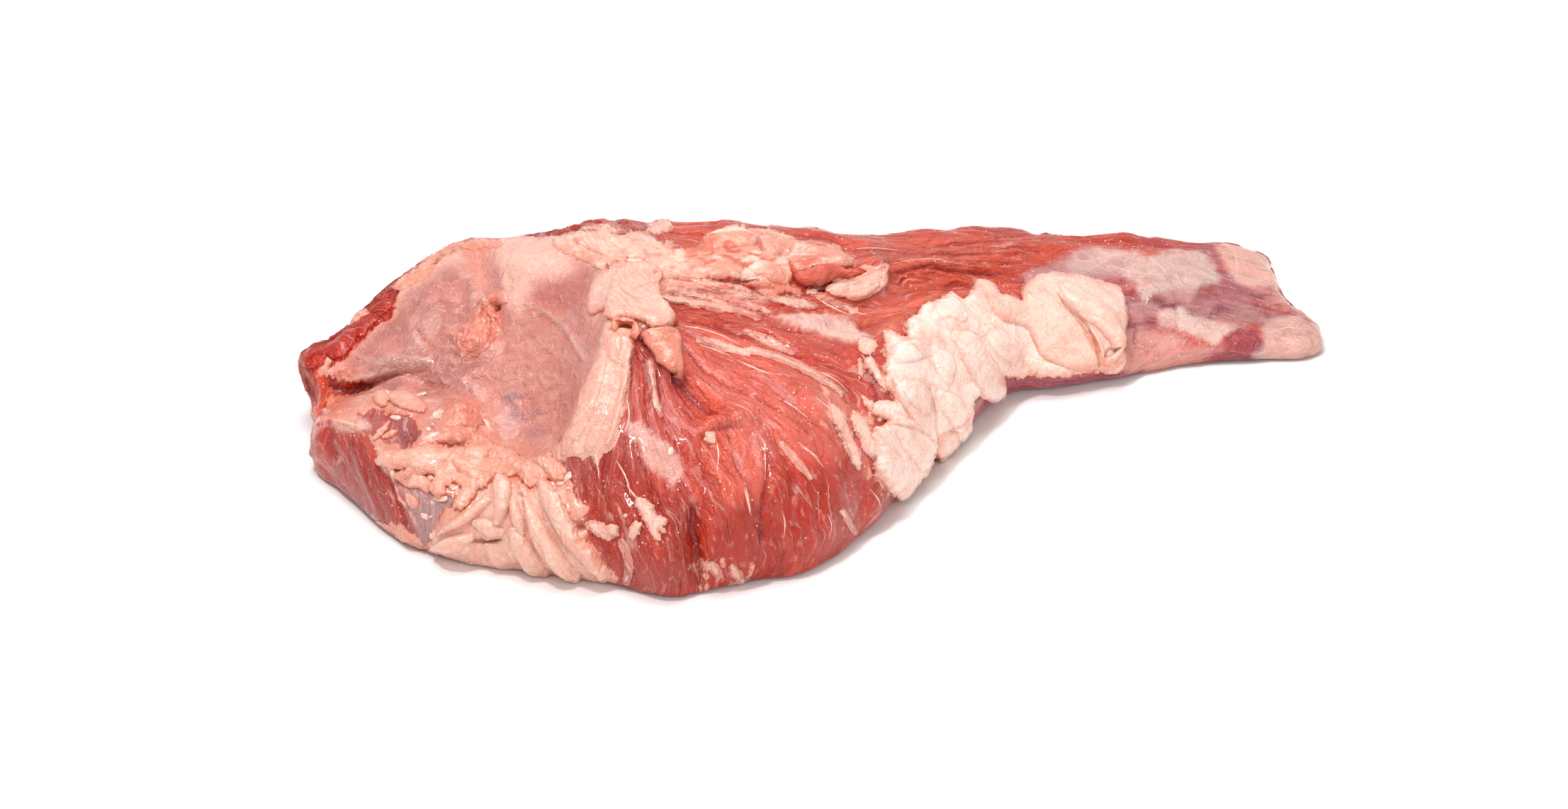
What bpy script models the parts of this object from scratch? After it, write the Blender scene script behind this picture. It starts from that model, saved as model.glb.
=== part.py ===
"""A raw beef tri-tip: one boneless piece, thick at its left end and drawn out to a thin tail at its right.

Metres, +Z up. +X runs along the piece from the thick end to the tail and +Y runs from front to back. The
origin is on the table, under the middle of the piece.

The tables below are in units of the piece's own length, of which the whole piece measures DRAWN_LENGTH,
so LENGTH alone sets its real size. A place on the upper skin is given as (x, girth): the station along the
piece, and the length of tape from the table at the front up and over the piece to that place.
"""
from typing import NamedTuple

import bpy
import numpy as np
from mathutils import Vector, noise

LENGTH = 0.340
DRAWN_LENGTH = 376.0
UNIT = LENGTH / DRAWN_LENGTH

NODE = "beef_tri_tip"
MEAT_COLOUR = (0.55, 0.12, 0.11, 1.0)

# How finely the piece is drawn before it is fused, and how many triangles it keeps.
RING_COUNT = 250
SKIN_POINTS = 150
FLOOR_POINTS = 30
GROOVE_POINTS = 60
ROLL_RINGS = 28
ROLL_SIDES = 14
VOXEL = 1.7
TRIANGLES = 11400
FLAT_BELOW = 0.45
# Half the step over which the skin's slope is measured.
PROBE = 2.0
# How near a roll's end rings come to its pointed ends, as a share of its half length.
ROLL_END = 0.97

# The foot of the front wall is set back by WALL_BULGE, or by a share of a low wall's height. The back wall
# leans out by REAR_RUN, or by a share of a narrow section's depth. Both bulge most at BULGE_HEIGHT of it.
WALL_BULGE = 3.0
WALL_BULGE_SHARE = 0.15
REAR_RUN = 7.0
REAR_RUN_SHARE = 0.1
BULGE_HEIGHT = 0.45
# The rear half of the thick end overhangs the table by this, below this height and near that end.
END_LEAN = 9.0
END_LEAN_HEIGHT = 20.0
END_LEAN_REACH = 30.0
END_LEAN_FROM = (4.0, 18.0)

# Soft unevenness of the whole skin: (wavelength, height) of each layer.
LUMPS = ((34.0, 1.5), (15.0, 0.9), (7.5, 0.45))
# Below this height the skin keeps its place, so that the piece lies flat.
SETTLED_HEIGHT = 5.0

HEIGHT_SHARES = (0.04, 0.20, 0.45, 0.70, 0.95)


class Station(NamedTuple):
    """An upright section across the piece, with its heights at HEIGHT_SHARES of its depth."""

    x: float
    front: float
    back: float
    wall: float
    low: float
    middle: float
    high: float
    rear: float


STATIONS = (
    Station(-186, 36, 48, 18, 20, 22, 23, 23),
    Station(-178, 5, 50, 19, 21, 24, 27, 29),
    Station(-168, -9, 56, 19, 23, 25, 30, 33),
    Station(-156, -28, 71, 20, 24, 27, 36, 38),
    Station(-143, -45, 84, 22, 27, 29, 42, 44),
    Station(-127, -55, 92, 23, 27, 30, 45, 49),
    Station(-110, -60, 84, 24, 27, 30, 48, 56),
    Station(-90, -66, 79, 26, 34, 40, 57, 62),
    Station(-72, -72, 80, 32, 51, 62, 68, 66),
    Station(-48, -82, 77, 32, 49, 62, 67, 68),
    Station(-24, -73, 80, 34, 49, 57, 61, 65),
    Station(1, -63, 90, 28, 45, 51, 54, 57),
    Station(13, -49, 94, 24, 39, 46, 49, 52),
    Station(28, -19, 98, 22, 35, 42, 43, 45),
    Station(44, 13, 107, 20, 32, 38, 39, 41),
    Station(56, 34, 116, 18, 29, 34, 35, 37),
    Station(66, 53, 121, 17, 28, 31, 33, 34),
    Station(92, 64, 134, 15, 22, 25, 25, 26),
    Station(118, 72, 147, 10, 16, 19, 20, 21),
    Station(145, 81, 153, 8, 13, 15, 15, 14),
    Station(165, 83, 154, 7, 11, 12, 12, 11),
    Station(174, 83, 146, 6, 10, 11, 11, 9),
    Station(182, 84, 111, 6, 8, 9, 9, 8),
    Station(190, 90, 105, 5, 6, 6, 6, 5),
)


class Roll(NamedTuple):
    """A rounded fold of fat or muscle that lies on the skin along a path of (x, girth) places."""

    path: tuple
    half_width: float
    half_height: float
    lift: float = 0.0


class Groove(NamedTuple):
    """A cut, crease or gap between muscles along a path of (x, girth) places."""

    path: tuple
    depth: float
    half_width: float


class Mound(NamedTuple):
    """A soft swelling, or with a negative height a hollow, round one (x, girth) place."""

    place: tuple
    radius: float
    height: float


ROLLS = (
    # The fat that caps the ridge and runs down it to the front.
    Roll(((-73, 134), (-67, 145), (-58, 145), (-53, 135), (-54, 122)), 7, 4.5),
    Roll(((-61, 136), (-66, 110), (-70, 89), (-74, 73), (-78, 59), (-84, 46)), 7.5, 5),
    # A tab of fat that hangs off the top of the ridge.
    Roll(((-59, 118), (-53, 103), (-47, 90)), 5, 3.5, 1.5),
    # The fat pad behind the ridge, along the back, and its front edge.
    Roll(((-84, 152), (-60, 156), (-35, 157), (-14, 154), (2, 147)), 13, 4.5, -2.5),
    Roll(((-50, 141), (-37, 140), (-22, 145), (-10, 141)), 6, 4),
    # A band of muscle and a curled flap of fat over a gap, on top of the piece.
    Roll(((-8, 145), (0, 146), (9, 142), (19, 129)), 3.5, 4, 1.0),
    Roll(((17, 133), (25, 122), (24, 114), (14, 121), (3, 134)), 4, 3.5, 1.5),
    # The long muscle along the back of the tail.
    Roll(((6, 158), (25, 133), (42, 110), (60, 86), (84, 76), (112, 76)), 12, 4.5, -2.5),
    # Long lobes of fat that fan down the front, from the foot of the ridge.
    Roll(((-108, 36), (-107, 27), (-108, 16)), 3.5, 4.0),
    Roll(((-101, 27), (-102, 20), (-103, 14)), 2.6, 3.5),
    Roll(((-97, 27), (-94, 18), (-88, 9), (-83, 4)), 3.2, 3.5),
    Roll(((-93, 34), (-88, 25), (-82, 16), (-75, 7)), 5.0, 3.5),
    Roll(((-99, 19), (-101, 12), (-104, 5)), 3.4, 3.0),
    Roll(((-115, 25), (-123, 18), (-129, 12)), 2.6, 3.2),
    Roll(((-117, 14), (-124, 9), (-130, 4)), 2.8, 3.2),
    Roll(((-107, 20), (-113, 17), (-119, 15)), 3.2, 2.6),
    # The shelf of ragged fat that overhangs the lean at the thick end.
    Roll(((-150, 32), (-136, 36), (-125, 42), (-112, 44)), 6, 3.0),
    Roll(((-143, 20), (-132, 24), (-120, 30)), 5, 2.5),
    # A soft fold across the lean, under the crease from the tab.
    Roll(((-41, 60), (-36, 66), (-29, 67), (-21, 71)), 4, 2.6),
    # The fat that curls up along the front of the tail.
    Roll(((90, 41), (96, 31), (102, 24), (109, 18), (110, 9)), 3.8, 4.5, 1.5),
    # The loose lower corner of the fat band.
    Roll(((32, 27), (37, 18), (42, 9)), 6, 3.5),
    Roll(((42, 36), (48, 27), (52, 15)), 5, 3),
)

GROOVES = (
    # The long split that runs in from the thick end.
    Groove(((-186, 28), (-178, 36), (-170, 48), (-163, 57), (-154, 71), (-145, 84), (-136, 91)), 5.0, 2.8),
    Groove(((-139, 85), (-129, 88)), 2.5, 2.5),
    # The slit where two muscles part above the hollow.
    Groove(((-120, 150), (-116, 138), (-113, 125), (-112, 114)), 4.0, 2.4),
    # Creases that run down the front of the lean.
    Groove(((-39, 34), (-40, 22), (-39, 6)), 5.5, 3.0),
    Groove(((-18, 26), (-17, 18), (-17, 4)), 4.0, 2.8),
    Groove(((-49, 94), (-43, 84), (-39, 78), (-33, 70)), 4.5, 2.8),
    Groove(((-68, 44), (-61, 38), (-54, 31), (-52, 22)), 2.5, 2.6),
    # Gaps between the bundles that fan out from the ridge.
    Groove(((-44, 124), (-22, 114), (1, 85), (18, 56)), 1.8, 2.6),
    Groove(((-45, 108), (-26, 91), (-9, 73), (8, 47)), 1.8, 2.6),
    Groove(((-41, 135), (-17, 124), (8, 102)), 1.6, 2.6),
    Groove(((-50, 60), (-40, 46), (-30, 22)), 1.4, 2.6),
    # Under the long muscle of the tail, and beside the curl of fat.
    Groove(((15, 137), (37, 99), (58, 70), (79, 54)), 4.0, 4.5),
    Groove(((88, 38), (95, 26), (103, 14), (105, 6)), 2.5, 2.5),
    Groove(((65, 43), (71, 26), (80, 13)), 1.5, 3.0),
)

MOUNDS = (
    Mound((-178, 32), 10, -5.0),
    Mound((-102, 66), 20, -7.0),
    Mound((-120, 110), 8, 3.5),
    Mound((-124, 66), 10, 3.0),
    Mound((-99, 140), 16, 4.0),
    Mound((4, 138), 4.5, -5.0),
    Mound((-81, 23), 2.6, -3.5),
    Mound((4, 34), 16, 3.0),
    Mound((-26, 36), 12, 3.0),
    Mound((120, 62), 18, 2.0),
)

# The thick fat band over the front of the bend, seen from above, with its thickness and its edge's width.
FAT_BAND_OUTLINE = (
    (22, 26), (29, 44), (47, 67), (64, 84), (80, 93), (98, 99), (106, 90), (117, 80), (118, 60),
    (92, 50), (68, 36), (60, 20), (48, -4), (34, -24), (24, -42), (14, -36), (19, -24), (22, 0),
)
FAT_BAND_THICKNESS = 3.2
FAT_BAND_EDGE = 2.2


def smooth_curve(knots, values, at):
    """Values read at any place from a smooth curve through the given ones."""
    knots = np.asarray(knots, float)
    values = np.asarray(values, float)
    slopes = np.gradient(values, knots)
    at = np.clip(at, knots[0], knots[-1])
    i = np.clip(np.searchsorted(knots, at, side="right") - 1, 0, len(knots) - 2)
    span = knots[i + 1] - knots[i]
    t = (at - knots[i]) / span
    return (
        values[i] * (1 + 2 * t) * (1 - t) ** 2
        + slopes[i] * span * t * (1 - t) ** 2
        + values[i + 1] * t * t * (3 - 2 * t)
        - slopes[i + 1] * span * t * t * (1 - t)
    )


def lengths_along(points):
    """The length walked from a line's first point to each of its points."""
    steps = np.linalg.norm(np.diff(points, axis=0), axis=1)
    return np.concatenate([[0.0], np.cumsum(steps)])


def resample(points, count):
    """The same open line as evenly spaced points."""
    along = lengths_along(points)
    even = np.linspace(0, along[-1], count)
    return np.stack([np.interp(even, along, points[:, k]) for k in range(points.shape[1])], 1)


def section_skin(x):
    """The upper line of the section at x, as (y, z), from the table in front to the table behind."""
    table = np.array(STATIONS)
    s = Station(*(smooth_curve(table[:, 0], table[:, k], x) for k in range(len(Station._fields))))
    depth = s.back - s.front
    bulge = min(WALL_BULGE, WALL_BULGE_SHARE * s.wall)
    rear_run = min(REAR_RUN, REAR_RUN_SHARE * depth)
    heights = (s.wall, s.low, s.middle, s.high, s.rear)
    knots = [(s.front, 0.0), (s.front - bulge, BULGE_HEIGHT * s.wall)]
    knots += [(s.front + share * depth, height) for share, height in zip(HEIGHT_SHARES, heights)]
    knots += [(s.back + rear_run, BULGE_HEIGHT * s.rear), (s.back + rear_run - bulge, 0.0)]
    knots = np.array(knots)
    chord = np.concatenate([[0.0], np.cumsum(np.linalg.norm(np.diff(knots, axis=0), axis=1) ** 0.5)])
    fine = np.linspace(0, chord[-1], 2 * SKIN_POINTS)
    line = np.stack([smooth_curve(chord, knots[:, k], fine) for k in (0, 1)], 1)
    line[:, 1] = np.maximum(line[:, 1], 0.0)
    return resample(line, SKIN_POINTS)


def loft_rings():
    """The smooth body as closed rings across it: the upper skin, then the points on the table."""
    rings = []
    for x in np.linspace(STATIONS[0].x, STATIONS[-1].x, RING_COUNT):
        skin = section_skin(x)
        share = np.linspace(0, 1, FLOOR_POINTS + 2)[1:-1, None]
        floor = skin[-1] + (skin[0] - skin[-1]) * share
        ring = np.concatenate([skin, floor])
        low = 1 - smooth_step(ring[:, 1], 0, END_LEAN_HEIGHT)
        near = 1 - smooth_step(x - STATIONS[0].x, 0, END_LEAN_REACH)
        rearward = smooth_step(ring[:, 0], *END_LEAN_FROM)
        rings.append(np.column_stack([x + END_LEAN * low * near * rearward, ring]))
    return np.array(rings)


def skin_places(rings, path, count):
    """Evenly spaced points on the smooth skin along a path of (x, girth) places, with the skin's normals."""
    path = np.array(path, float)
    share = lengths_along(path)
    fine = np.linspace(0, share[-1], count)
    places = np.stack([smooth_curve(share, path[:, k], fine) for k in (0, 1)], 1)
    skin = rings[:, :SKIN_POINTS]
    xs = np.linspace(STATIONS[0].x, STATIONS[-1].x, RING_COUNT)
    places[:, 0] = np.clip(places[:, 0], xs[0] + PROBE, xs[-1] - PROBE)
    step = (xs[-1] - xs[0]) / (len(xs) - 1)

    def at(x, girth):
        """One point of the skin, between the two nearest rings."""
        where = (x - xs[0]) / step
        low = min(int(where), len(xs) - 2)
        found = []
        for ring in (skin[low], skin[low + 1]):
            along = lengths_along(ring)
            found.append([np.interp(girth, along, ring[:, k]) for k in range(3)])
        return np.array(found[0]) + (np.array(found[1]) - np.array(found[0])) * (where - low)

    points = np.array([at(x, girth) for x, girth in places])
    over = np.array([at(x, girth + PROBE) - at(x, girth - PROBE) for x, girth in places])
    along = np.array([at(x + PROBE, girth) - at(x - PROBE, girth) for x, girth in places])
    normals = np.cross(along, over)
    normals /= np.linalg.norm(normals, axis=1)[:, None]
    return points, normals


def distance_to_line(points, line):
    """Each point's distance to the nearest point of a closely drawn line."""
    nearest = np.full(len(points), np.inf)
    for place in line:
        nearest = np.minimum(nearest, ((points - place) ** 2).sum(1))
    return np.sqrt(nearest)


def plan_distance(points, outline):
    """How far inside (positive) or outside (negative) a closed plan outline each point lies."""
    corners = np.array(outline, float)
    following = np.roll(corners, -1, axis=0)
    flat = points[:, :2]
    inside = np.zeros(len(flat), bool)
    nearest = np.full(len(flat), np.inf)
    for a, b in zip(corners, following):
        side = b - a
        t = np.clip(((flat - a) @ side) / (side @ side), 0, 1)
        nearest = np.minimum(nearest, np.linalg.norm(flat - a - t[:, None] * side, axis=1))
        crosses = (a[1] > flat[:, 1]) != (b[1] > flat[:, 1])
        if a[1] != b[1]:
            inside ^= crosses & (flat[:, 0] < a[0] + (flat[:, 1] - a[1]) * side[0] / side[1])
    return np.where(inside, nearest, -nearest)


def smooth_step(value, low, high):
    """0 below low, 1 above high, and an even curve between."""
    t = np.clip((value - low) / (high - low), 0, 1)
    return t * t * (3 - 2 * t)


def ring_normals(rings):
    """The outward normal at every point of the closed rings."""
    around = np.roll(rings, -1, axis=1) - np.roll(rings, 1, axis=1)
    along = np.gradient(rings, axis=0)
    normals = np.cross(along, around)
    length = np.linalg.norm(normals, axis=2, keepdims=True)
    return normals / np.maximum(length, 1e-9)


def lump_height(points):
    """The soft unevenness of the skin, from a few layers of noise."""
    total = np.zeros(len(points))
    for wavelength, height in LUMPS:
        scaled = points / wavelength
        total += height * np.array([noise.noise(Vector(p)) for p in scaled])
    return total


def carve(rings):
    """The body with its hollows, swellings, creases and fat band worked into the skin."""
    points = rings.reshape(-1, 3)
    rise = lump_height(points)
    for mound in MOUNDS:
        centre = skin_places(rings, (mound.place, mound.place + np.ones(2)), 2)[0][0]
        distance = np.linalg.norm(points - centre, axis=1)
        rise += mound.height * np.exp(-((distance / mound.radius) ** 2))
    inside = plan_distance(points, FAT_BAND_OUTLINE)
    rise += FAT_BAND_THICKNESS * smooth_step(inside, -FAT_BAND_EDGE, FAT_BAND_EDGE)
    for groove in GROOVES:
        line, _ = skin_places(rings, groove.path, GROOVE_POINTS)
        distance = distance_to_line(points, line)
        rise -= groove.depth * np.exp(-((distance / groove.half_width) ** 2))
    free = smooth_step(points[:, 2], 0.2, SETTLED_HEIGHT)
    moved = points + ring_normals(rings).reshape(-1, 3) * (rise * free)[:, None]
    return moved.reshape(rings.shape)


def tube(rings):
    """Points and faces of a closed tube of rings, with a fan over each end."""
    count, around = rings.shape[:2]
    ends = np.array([rings[0].mean(0), rings[-1].mean(0)])
    points = np.concatenate([rings.reshape(-1, 3), ends])
    first, last = len(points) - 2, len(points) - 1
    tail = (count - 1) * around
    faces = []
    for j in range(around):
        k = (j + 1) % around
        for i in range(count - 1):
            near, far = i * around, (i + 1) * around
            faces.append((near + j, near + k, far + k, far + j))
        faces.append((first, k, j))
        faces.append((last, tail + j, tail + k))
    return points, faces


def roll_rings(rings, roll):
    """A roll as rings of an upright oval, sunk in the skin and tapered to both ends."""
    points, normals = skin_places(rings, roll.path, ROLL_RINGS)
    tangents = np.gradient(points, axis=0)
    sides = np.cross(tangents, normals)
    sides /= np.linalg.norm(sides, axis=1)[:, None]
    share = np.linspace(-ROLL_END, ROLL_END, ROLL_RINGS)
    taper = (1 - share**4) ** 0.5
    turn = np.linspace(0, 2 * np.pi, ROLL_SIDES, endpoint=False)
    centres = points + normals * roll.lift
    across = sides[:, None, :] * (np.cos(turn)[None, :, None] * roll.half_width * taper[:, None, None])
    upward = normals[:, None, :] * (np.sin(turn)[None, :, None] * roll.half_height * taper[:, None, None])
    return centres[:, None, :] + across + upward


def raw_body():
    """The carved body and its rolls, as one mesh of overlapping closed shapes."""
    smooth = loft_rings()
    shapes = [tube(carve(smooth))]
    shapes += [tube(roll_rings(smooth, roll)) for roll in ROLLS]
    points, faces = [], []
    for shape_points, shape_faces in shapes:
        start = sum(len(p) for p in points)
        points.append(shape_points)
        faces += [tuple(start + corner for corner in face) for face in shape_faces]
    mesh = bpy.data.meshes.new(NODE)
    points = np.concatenate(points)
    points[:, 2] = np.maximum(points[:, 2], 0.0)
    mesh.from_pydata((points * UNIT).tolist(), [], faces)
    mesh.update()
    return mesh


def evaluated_copy(piece):
    """A plain mesh of the object as its modifiers leave it."""
    graph = bpy.context.evaluated_depsgraph_get()
    return bpy.data.meshes.new_from_object(piece.evaluated_get(graph))


def fuse(piece):
    """Fuses the overlapping shapes into one skin, then thins it to the wanted number of triangles."""
    remesh = piece.modifiers.new("fuse", "REMESH")
    remesh.mode = "VOXEL"
    remesh.voxel_size = VOXEL * UNIT
    piece.data = evaluated_copy(piece)
    piece.modifiers.clear()
    thin = piece.modifiers.new("thin", "DECIMATE")
    thin.use_collapse_triangulate = True
    thin.ratio = TRIANGLES / (2 * len(piece.data.polygons))
    piece.data = evaluated_copy(piece)
    piece.modifiers.clear()


def settle(mesh):
    """Presses the underside flat on the table and puts the origin under the middle of the piece."""
    points = np.empty(len(mesh.vertices) * 3)
    mesh.vertices.foreach_get("co", points)
    points = points.reshape(-1, 3)
    points[:, 2] -= points[:, 2].min()
    points[points[:, 2] < FLAT_BELOW * UNIT, 2] = 0.0
    points[:, :2] -= (points.min(0)[:2] + points.max(0)[:2]) / 2
    mesh.vertices.foreach_set("co", points.ravel())
    mesh.update()


def meat_material():
    """Raw beef with its fat: dull red, moist and a little glossy."""
    material = bpy.data.materials.new("raw_beef")
    material.use_nodes = True
    shader = material.node_tree.nodes["Principled BSDF"]
    shader.inputs["Base Color"].default_value = MEAT_COLOUR
    shader.inputs["Roughness"].default_value = 0.4
    shader.inputs["Metallic"].default_value = 0.0
    return material


def main():
    """Builds the one piece of meat."""
    for old in list(bpy.data.objects):
        bpy.data.objects.remove(old, do_unlink=True)
    piece = bpy.data.objects.new(NODE, raw_body())
    bpy.context.scene.collection.objects.link(piece)
    fuse(piece)
    settle(piece.data)
    piece.data.materials.append(meat_material())


main()
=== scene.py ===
"""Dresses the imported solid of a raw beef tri-tip: lean muscle, fat cover, silverskin and wet gloss."""

import itertools
import logging
import math
from dataclasses import dataclass
from enum import Enum
from functools import partial

import bmesh
import bpy
import numpy as np
from mathutils import Matrix, Vector
from mathutils.bvhtree import BVHTree


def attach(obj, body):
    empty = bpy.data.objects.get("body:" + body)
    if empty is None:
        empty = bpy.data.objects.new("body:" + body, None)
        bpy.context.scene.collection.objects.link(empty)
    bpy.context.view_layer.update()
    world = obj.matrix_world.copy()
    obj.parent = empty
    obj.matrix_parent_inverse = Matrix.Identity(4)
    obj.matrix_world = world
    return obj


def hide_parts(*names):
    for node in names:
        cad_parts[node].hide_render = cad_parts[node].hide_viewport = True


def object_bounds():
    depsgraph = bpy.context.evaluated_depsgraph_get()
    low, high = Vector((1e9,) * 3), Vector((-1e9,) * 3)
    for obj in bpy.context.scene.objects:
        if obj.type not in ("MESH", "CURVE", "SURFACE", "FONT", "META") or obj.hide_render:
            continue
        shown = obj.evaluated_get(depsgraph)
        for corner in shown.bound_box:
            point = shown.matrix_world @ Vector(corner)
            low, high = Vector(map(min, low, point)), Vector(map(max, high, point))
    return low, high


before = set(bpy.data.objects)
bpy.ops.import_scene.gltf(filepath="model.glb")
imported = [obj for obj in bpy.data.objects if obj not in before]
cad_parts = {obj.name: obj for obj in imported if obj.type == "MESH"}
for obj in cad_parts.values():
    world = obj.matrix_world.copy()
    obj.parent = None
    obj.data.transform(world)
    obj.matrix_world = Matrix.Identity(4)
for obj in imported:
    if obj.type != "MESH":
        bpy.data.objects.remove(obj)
CAD_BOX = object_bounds()

LOG = logging.getLogger("tri_tip")
NODE = "beef_tri_tip"
MM = 0.001

Path = tuple[tuple[float, float], ...]
Cells = tuple[float, float, float]
Array = np.ndarray

# Settings that many nodes share: a map with soft ends, and a mix of two colours with its output's number.
SMOOTH = {"interpolation_type": "SMOOTHSTEP"}
COLOURS = {"data_type": "RGBA", "out": 2}


def path(*numbers: float) -> Path:
    """Pairs up a row of photo pixels, x and then y, into the points of an outline or a line."""
    return tuple(zip(numbers[::2], numbers[1::2]))


def colour(code: str) -> tuple[float, float, float, float]:
    """Turns a hex sRGB colour into the linear colour that a shader takes.

    Args:
        code: The colour as #RRGGBB.

    Returns:
        Linear red, green, blue and an alpha of one.
    """
    parts = [int(code[i : i + 2], 16) / 255 for i in (1, 3, 5)]
    linear = [p / 12.92 if p <= 0.04045 else ((p + 0.055) / 1.055) ** 2.4 for p in parts]
    return (linear[0], linear[1], linear[2], 1.0)


def smooth_step(value: Array, low: float, high: float) -> Array:
    """Rises smoothly from 0 at low to 1 at high."""
    share = np.clip((value - low) / (high - low), 0, 1)
    return share * share * (3 - 2 * share)


def lattice_noise(points: Array, seed: int) -> Array:
    """Smooth noise between -1 and 1 at any number of points.

    Args:
        points: Places as rows of three numbers, one noise cell to a unit.
        seed: Picks the pattern.

    Returns:
        One number for each point.
    """
    base = np.floor(points).astype(np.int64)
    share = points - base
    share = share * share * (3 - 2 * share)
    total = np.zeros(len(points))
    for corner in itertools.product((0, 1), repeat=3):
        cell = base + corner
        mixed = cell[:, 0] * 73856093 ^ cell[:, 1] * 19349663 ^ cell[:, 2] * 83492791 ^ seed * 2654435
        mixed = ((mixed & 0xFFFFFFFF) ^ ((mixed & 0xFFFFFFFF) >> 13)) * 1274126177
        mixed = ((mixed & 0xFFFFFFFF) >> 9) & 0xFFFF
        weight = np.prod(np.where(corner, share, 1 - share), axis=1)
        total += weight * (mixed / 32767.5 - 1)
    return total


def layered_noise(points: Array, size: float, seed: int, layers: int = 3) -> Array:
    """Noise of several sizes added up, each half as large and half as strong as the last.

    Args:
        points: Places as rows of two or three numbers.
        size: Width of the largest cell, in the units of the points.
        seed: Picks the pattern.
        layers: How many sizes are added.

    Returns:
        One number for each point, mostly between -1 and 1.
    """
    flat = points if points.shape[1] == 3 else np.column_stack([points, np.zeros(len(points))])
    total = np.zeros(len(flat))
    for layer in range(layers):
        total += lattice_noise(flat * 2**layer / size + 17.3 * layer, seed + layer) / 2**layer
    return total / 1.6


def pillows(points: Array, size: float, seed: int, layers: int = 2) -> Array:
    """Rounded lumps from 0 to 1 with sharp valleys between them.

    Args:
        points: Places as rows of two or three numbers.
        size: Width of a lump, in the units of the points.
        seed: Picks the pattern.
        layers: How many sizes are added.

    Returns:
        One height for each point.
    """
    return np.sqrt(np.abs(layered_noise(points, size, seed, layers)).clip(0, 1))


def folds(points: Array, grain: Array, size: float, seed: int) -> Array:
    """Soft folds of fat from 0 to 1, longer along the grain than across it.

    Args:
        points: Places in millimetres.
        grain: The way along and across the fibres at each place, in millimetres.
        size: Width of a fold in millimetres.
        seed: Picks the pattern.

    Returns:
        One height for each point.
    """
    bent = np.column_stack([grain[:, 0] / 2.4, grain[:, 1], points[:, 2] * 0.5])
    bent[:, 0] += layered_noise(points, size * 1.6, seed + 3, 2) * size * 0.5
    bent[:, 1] += layered_noise(points, size * 1.6, seed + 6, 2) * size * 0.7
    broad = pillows(bent, size, seed, 2)
    fine = layered_noise(bent, size * 0.35, seed + 9, 2)
    return np.clip(broad * 0.85 + fine * 0.12 + 0.08, 0, 1)


def smooth_curve(points: Path, closed: bool, step: float = 5.0) -> Array:
    """Resamples a rounded curve through a few named points.

    Args:
        points: The points that the curve passes.
        closed: Whether the last point joins the first.
        step: Rough distance between the samples.

    Returns:
        The samples as rows of two numbers.
    """
    knots = np.array(points, float)
    if closed:
        knots = np.vstack([knots[-1], knots, knots[0], knots[1]])
    else:
        knots = np.vstack([2 * knots[0] - knots[1], knots, 2 * knots[-1] - knots[-2]])
    samples = []
    for before, start, end, after in zip(knots, knots[1:], knots[2:], knots[3:]):
        count = max(1, int(np.linalg.norm(end - start) / step))
        t = np.arange(count)[:, None] / count
        bend = (2 * before - 5 * start + 4 * end - after) * t**2
        twist = (3 * start - before - 3 * end + after) * t**3
        samples.append(0.5 * (2 * start + (end - before) * t + bend + twist))
    if not closed:
        samples.append(knots[-2][None])
    return np.vstack(samples)


def near_line(at: Array, line: Array, closed: bool = False) -> tuple[Array, Array]:
    """Measures how far places are from a line of samples.

    Args:
        at: Places as rows of two numbers.
        line: The samples along the line.
        closed: Whether the last sample joins the first.

    Returns:
        The distance, and how far along the line from 0 to 1 the nearest place is.
    """
    ends = np.roll(line, -1, axis=0) if closed else line[1:]
    starts = line if closed else line[:-1]
    best = np.full(len(at), 1e9)
    along = np.zeros(len(at))
    for index, (start, end) in enumerate(zip(starts, ends)):
        way = end - start
        share = np.clip(((at - start) @ way) / max(float(way @ way), 1e-9), 0, 1)
        gap = np.hypot(*(at - start - share[:, None] * way).T)
        closer = gap < best
        best = np.where(closer, gap, best)
        along = np.where(closer, (index + share) / len(starts), along)
    return best, along


def inside_distance(at: Array, outline: Path, ragged: float, seed: int, reach: float = 40.0) -> Array:
    """Signed distance to a closed ragged outline, positive inside.

    Args:
        at: Places as rows of two numbers.
        outline: The points that the rounded outline passes.
        ragged: How far the edge wanders either way.
        seed: Picks the wandering.
        reach: Beyond this distance from the outline's box the answer is -reach.

    Returns:
        One distance for each place.
    """
    line = smooth_curve(outline, closed=True)
    result = np.full(len(at), -reach)
    near = np.all((at > line.min(axis=0) - reach) & (at < line.max(axis=0) + reach), axis=1)
    spots = at[near]
    gap, _ = near_line(spots, line, closed=True)
    inside = np.zeros(len(spots), bool)
    for start, end in zip(line, np.roll(line, -1, axis=0)):
        spans = (start[1] > spots[:, 1]) != (end[1] > spots[:, 1])
        rise = end[1] - start[1]
        crossing = start[0] + (spots[:, 1] - start[1]) * (end[0] - start[0]) / (rise or 1.0)
        inside ^= spans & (spots[:, 0] < crossing)
    wander = layered_noise(spots, 26, seed) * ragged * 0.8
    wander += (0.55 - pillows(spots, 9.0, seed + 5, 2)) * ragged * 0.9
    result[near] = np.where(inside, gap, -gap) + wander
    return result


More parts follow.
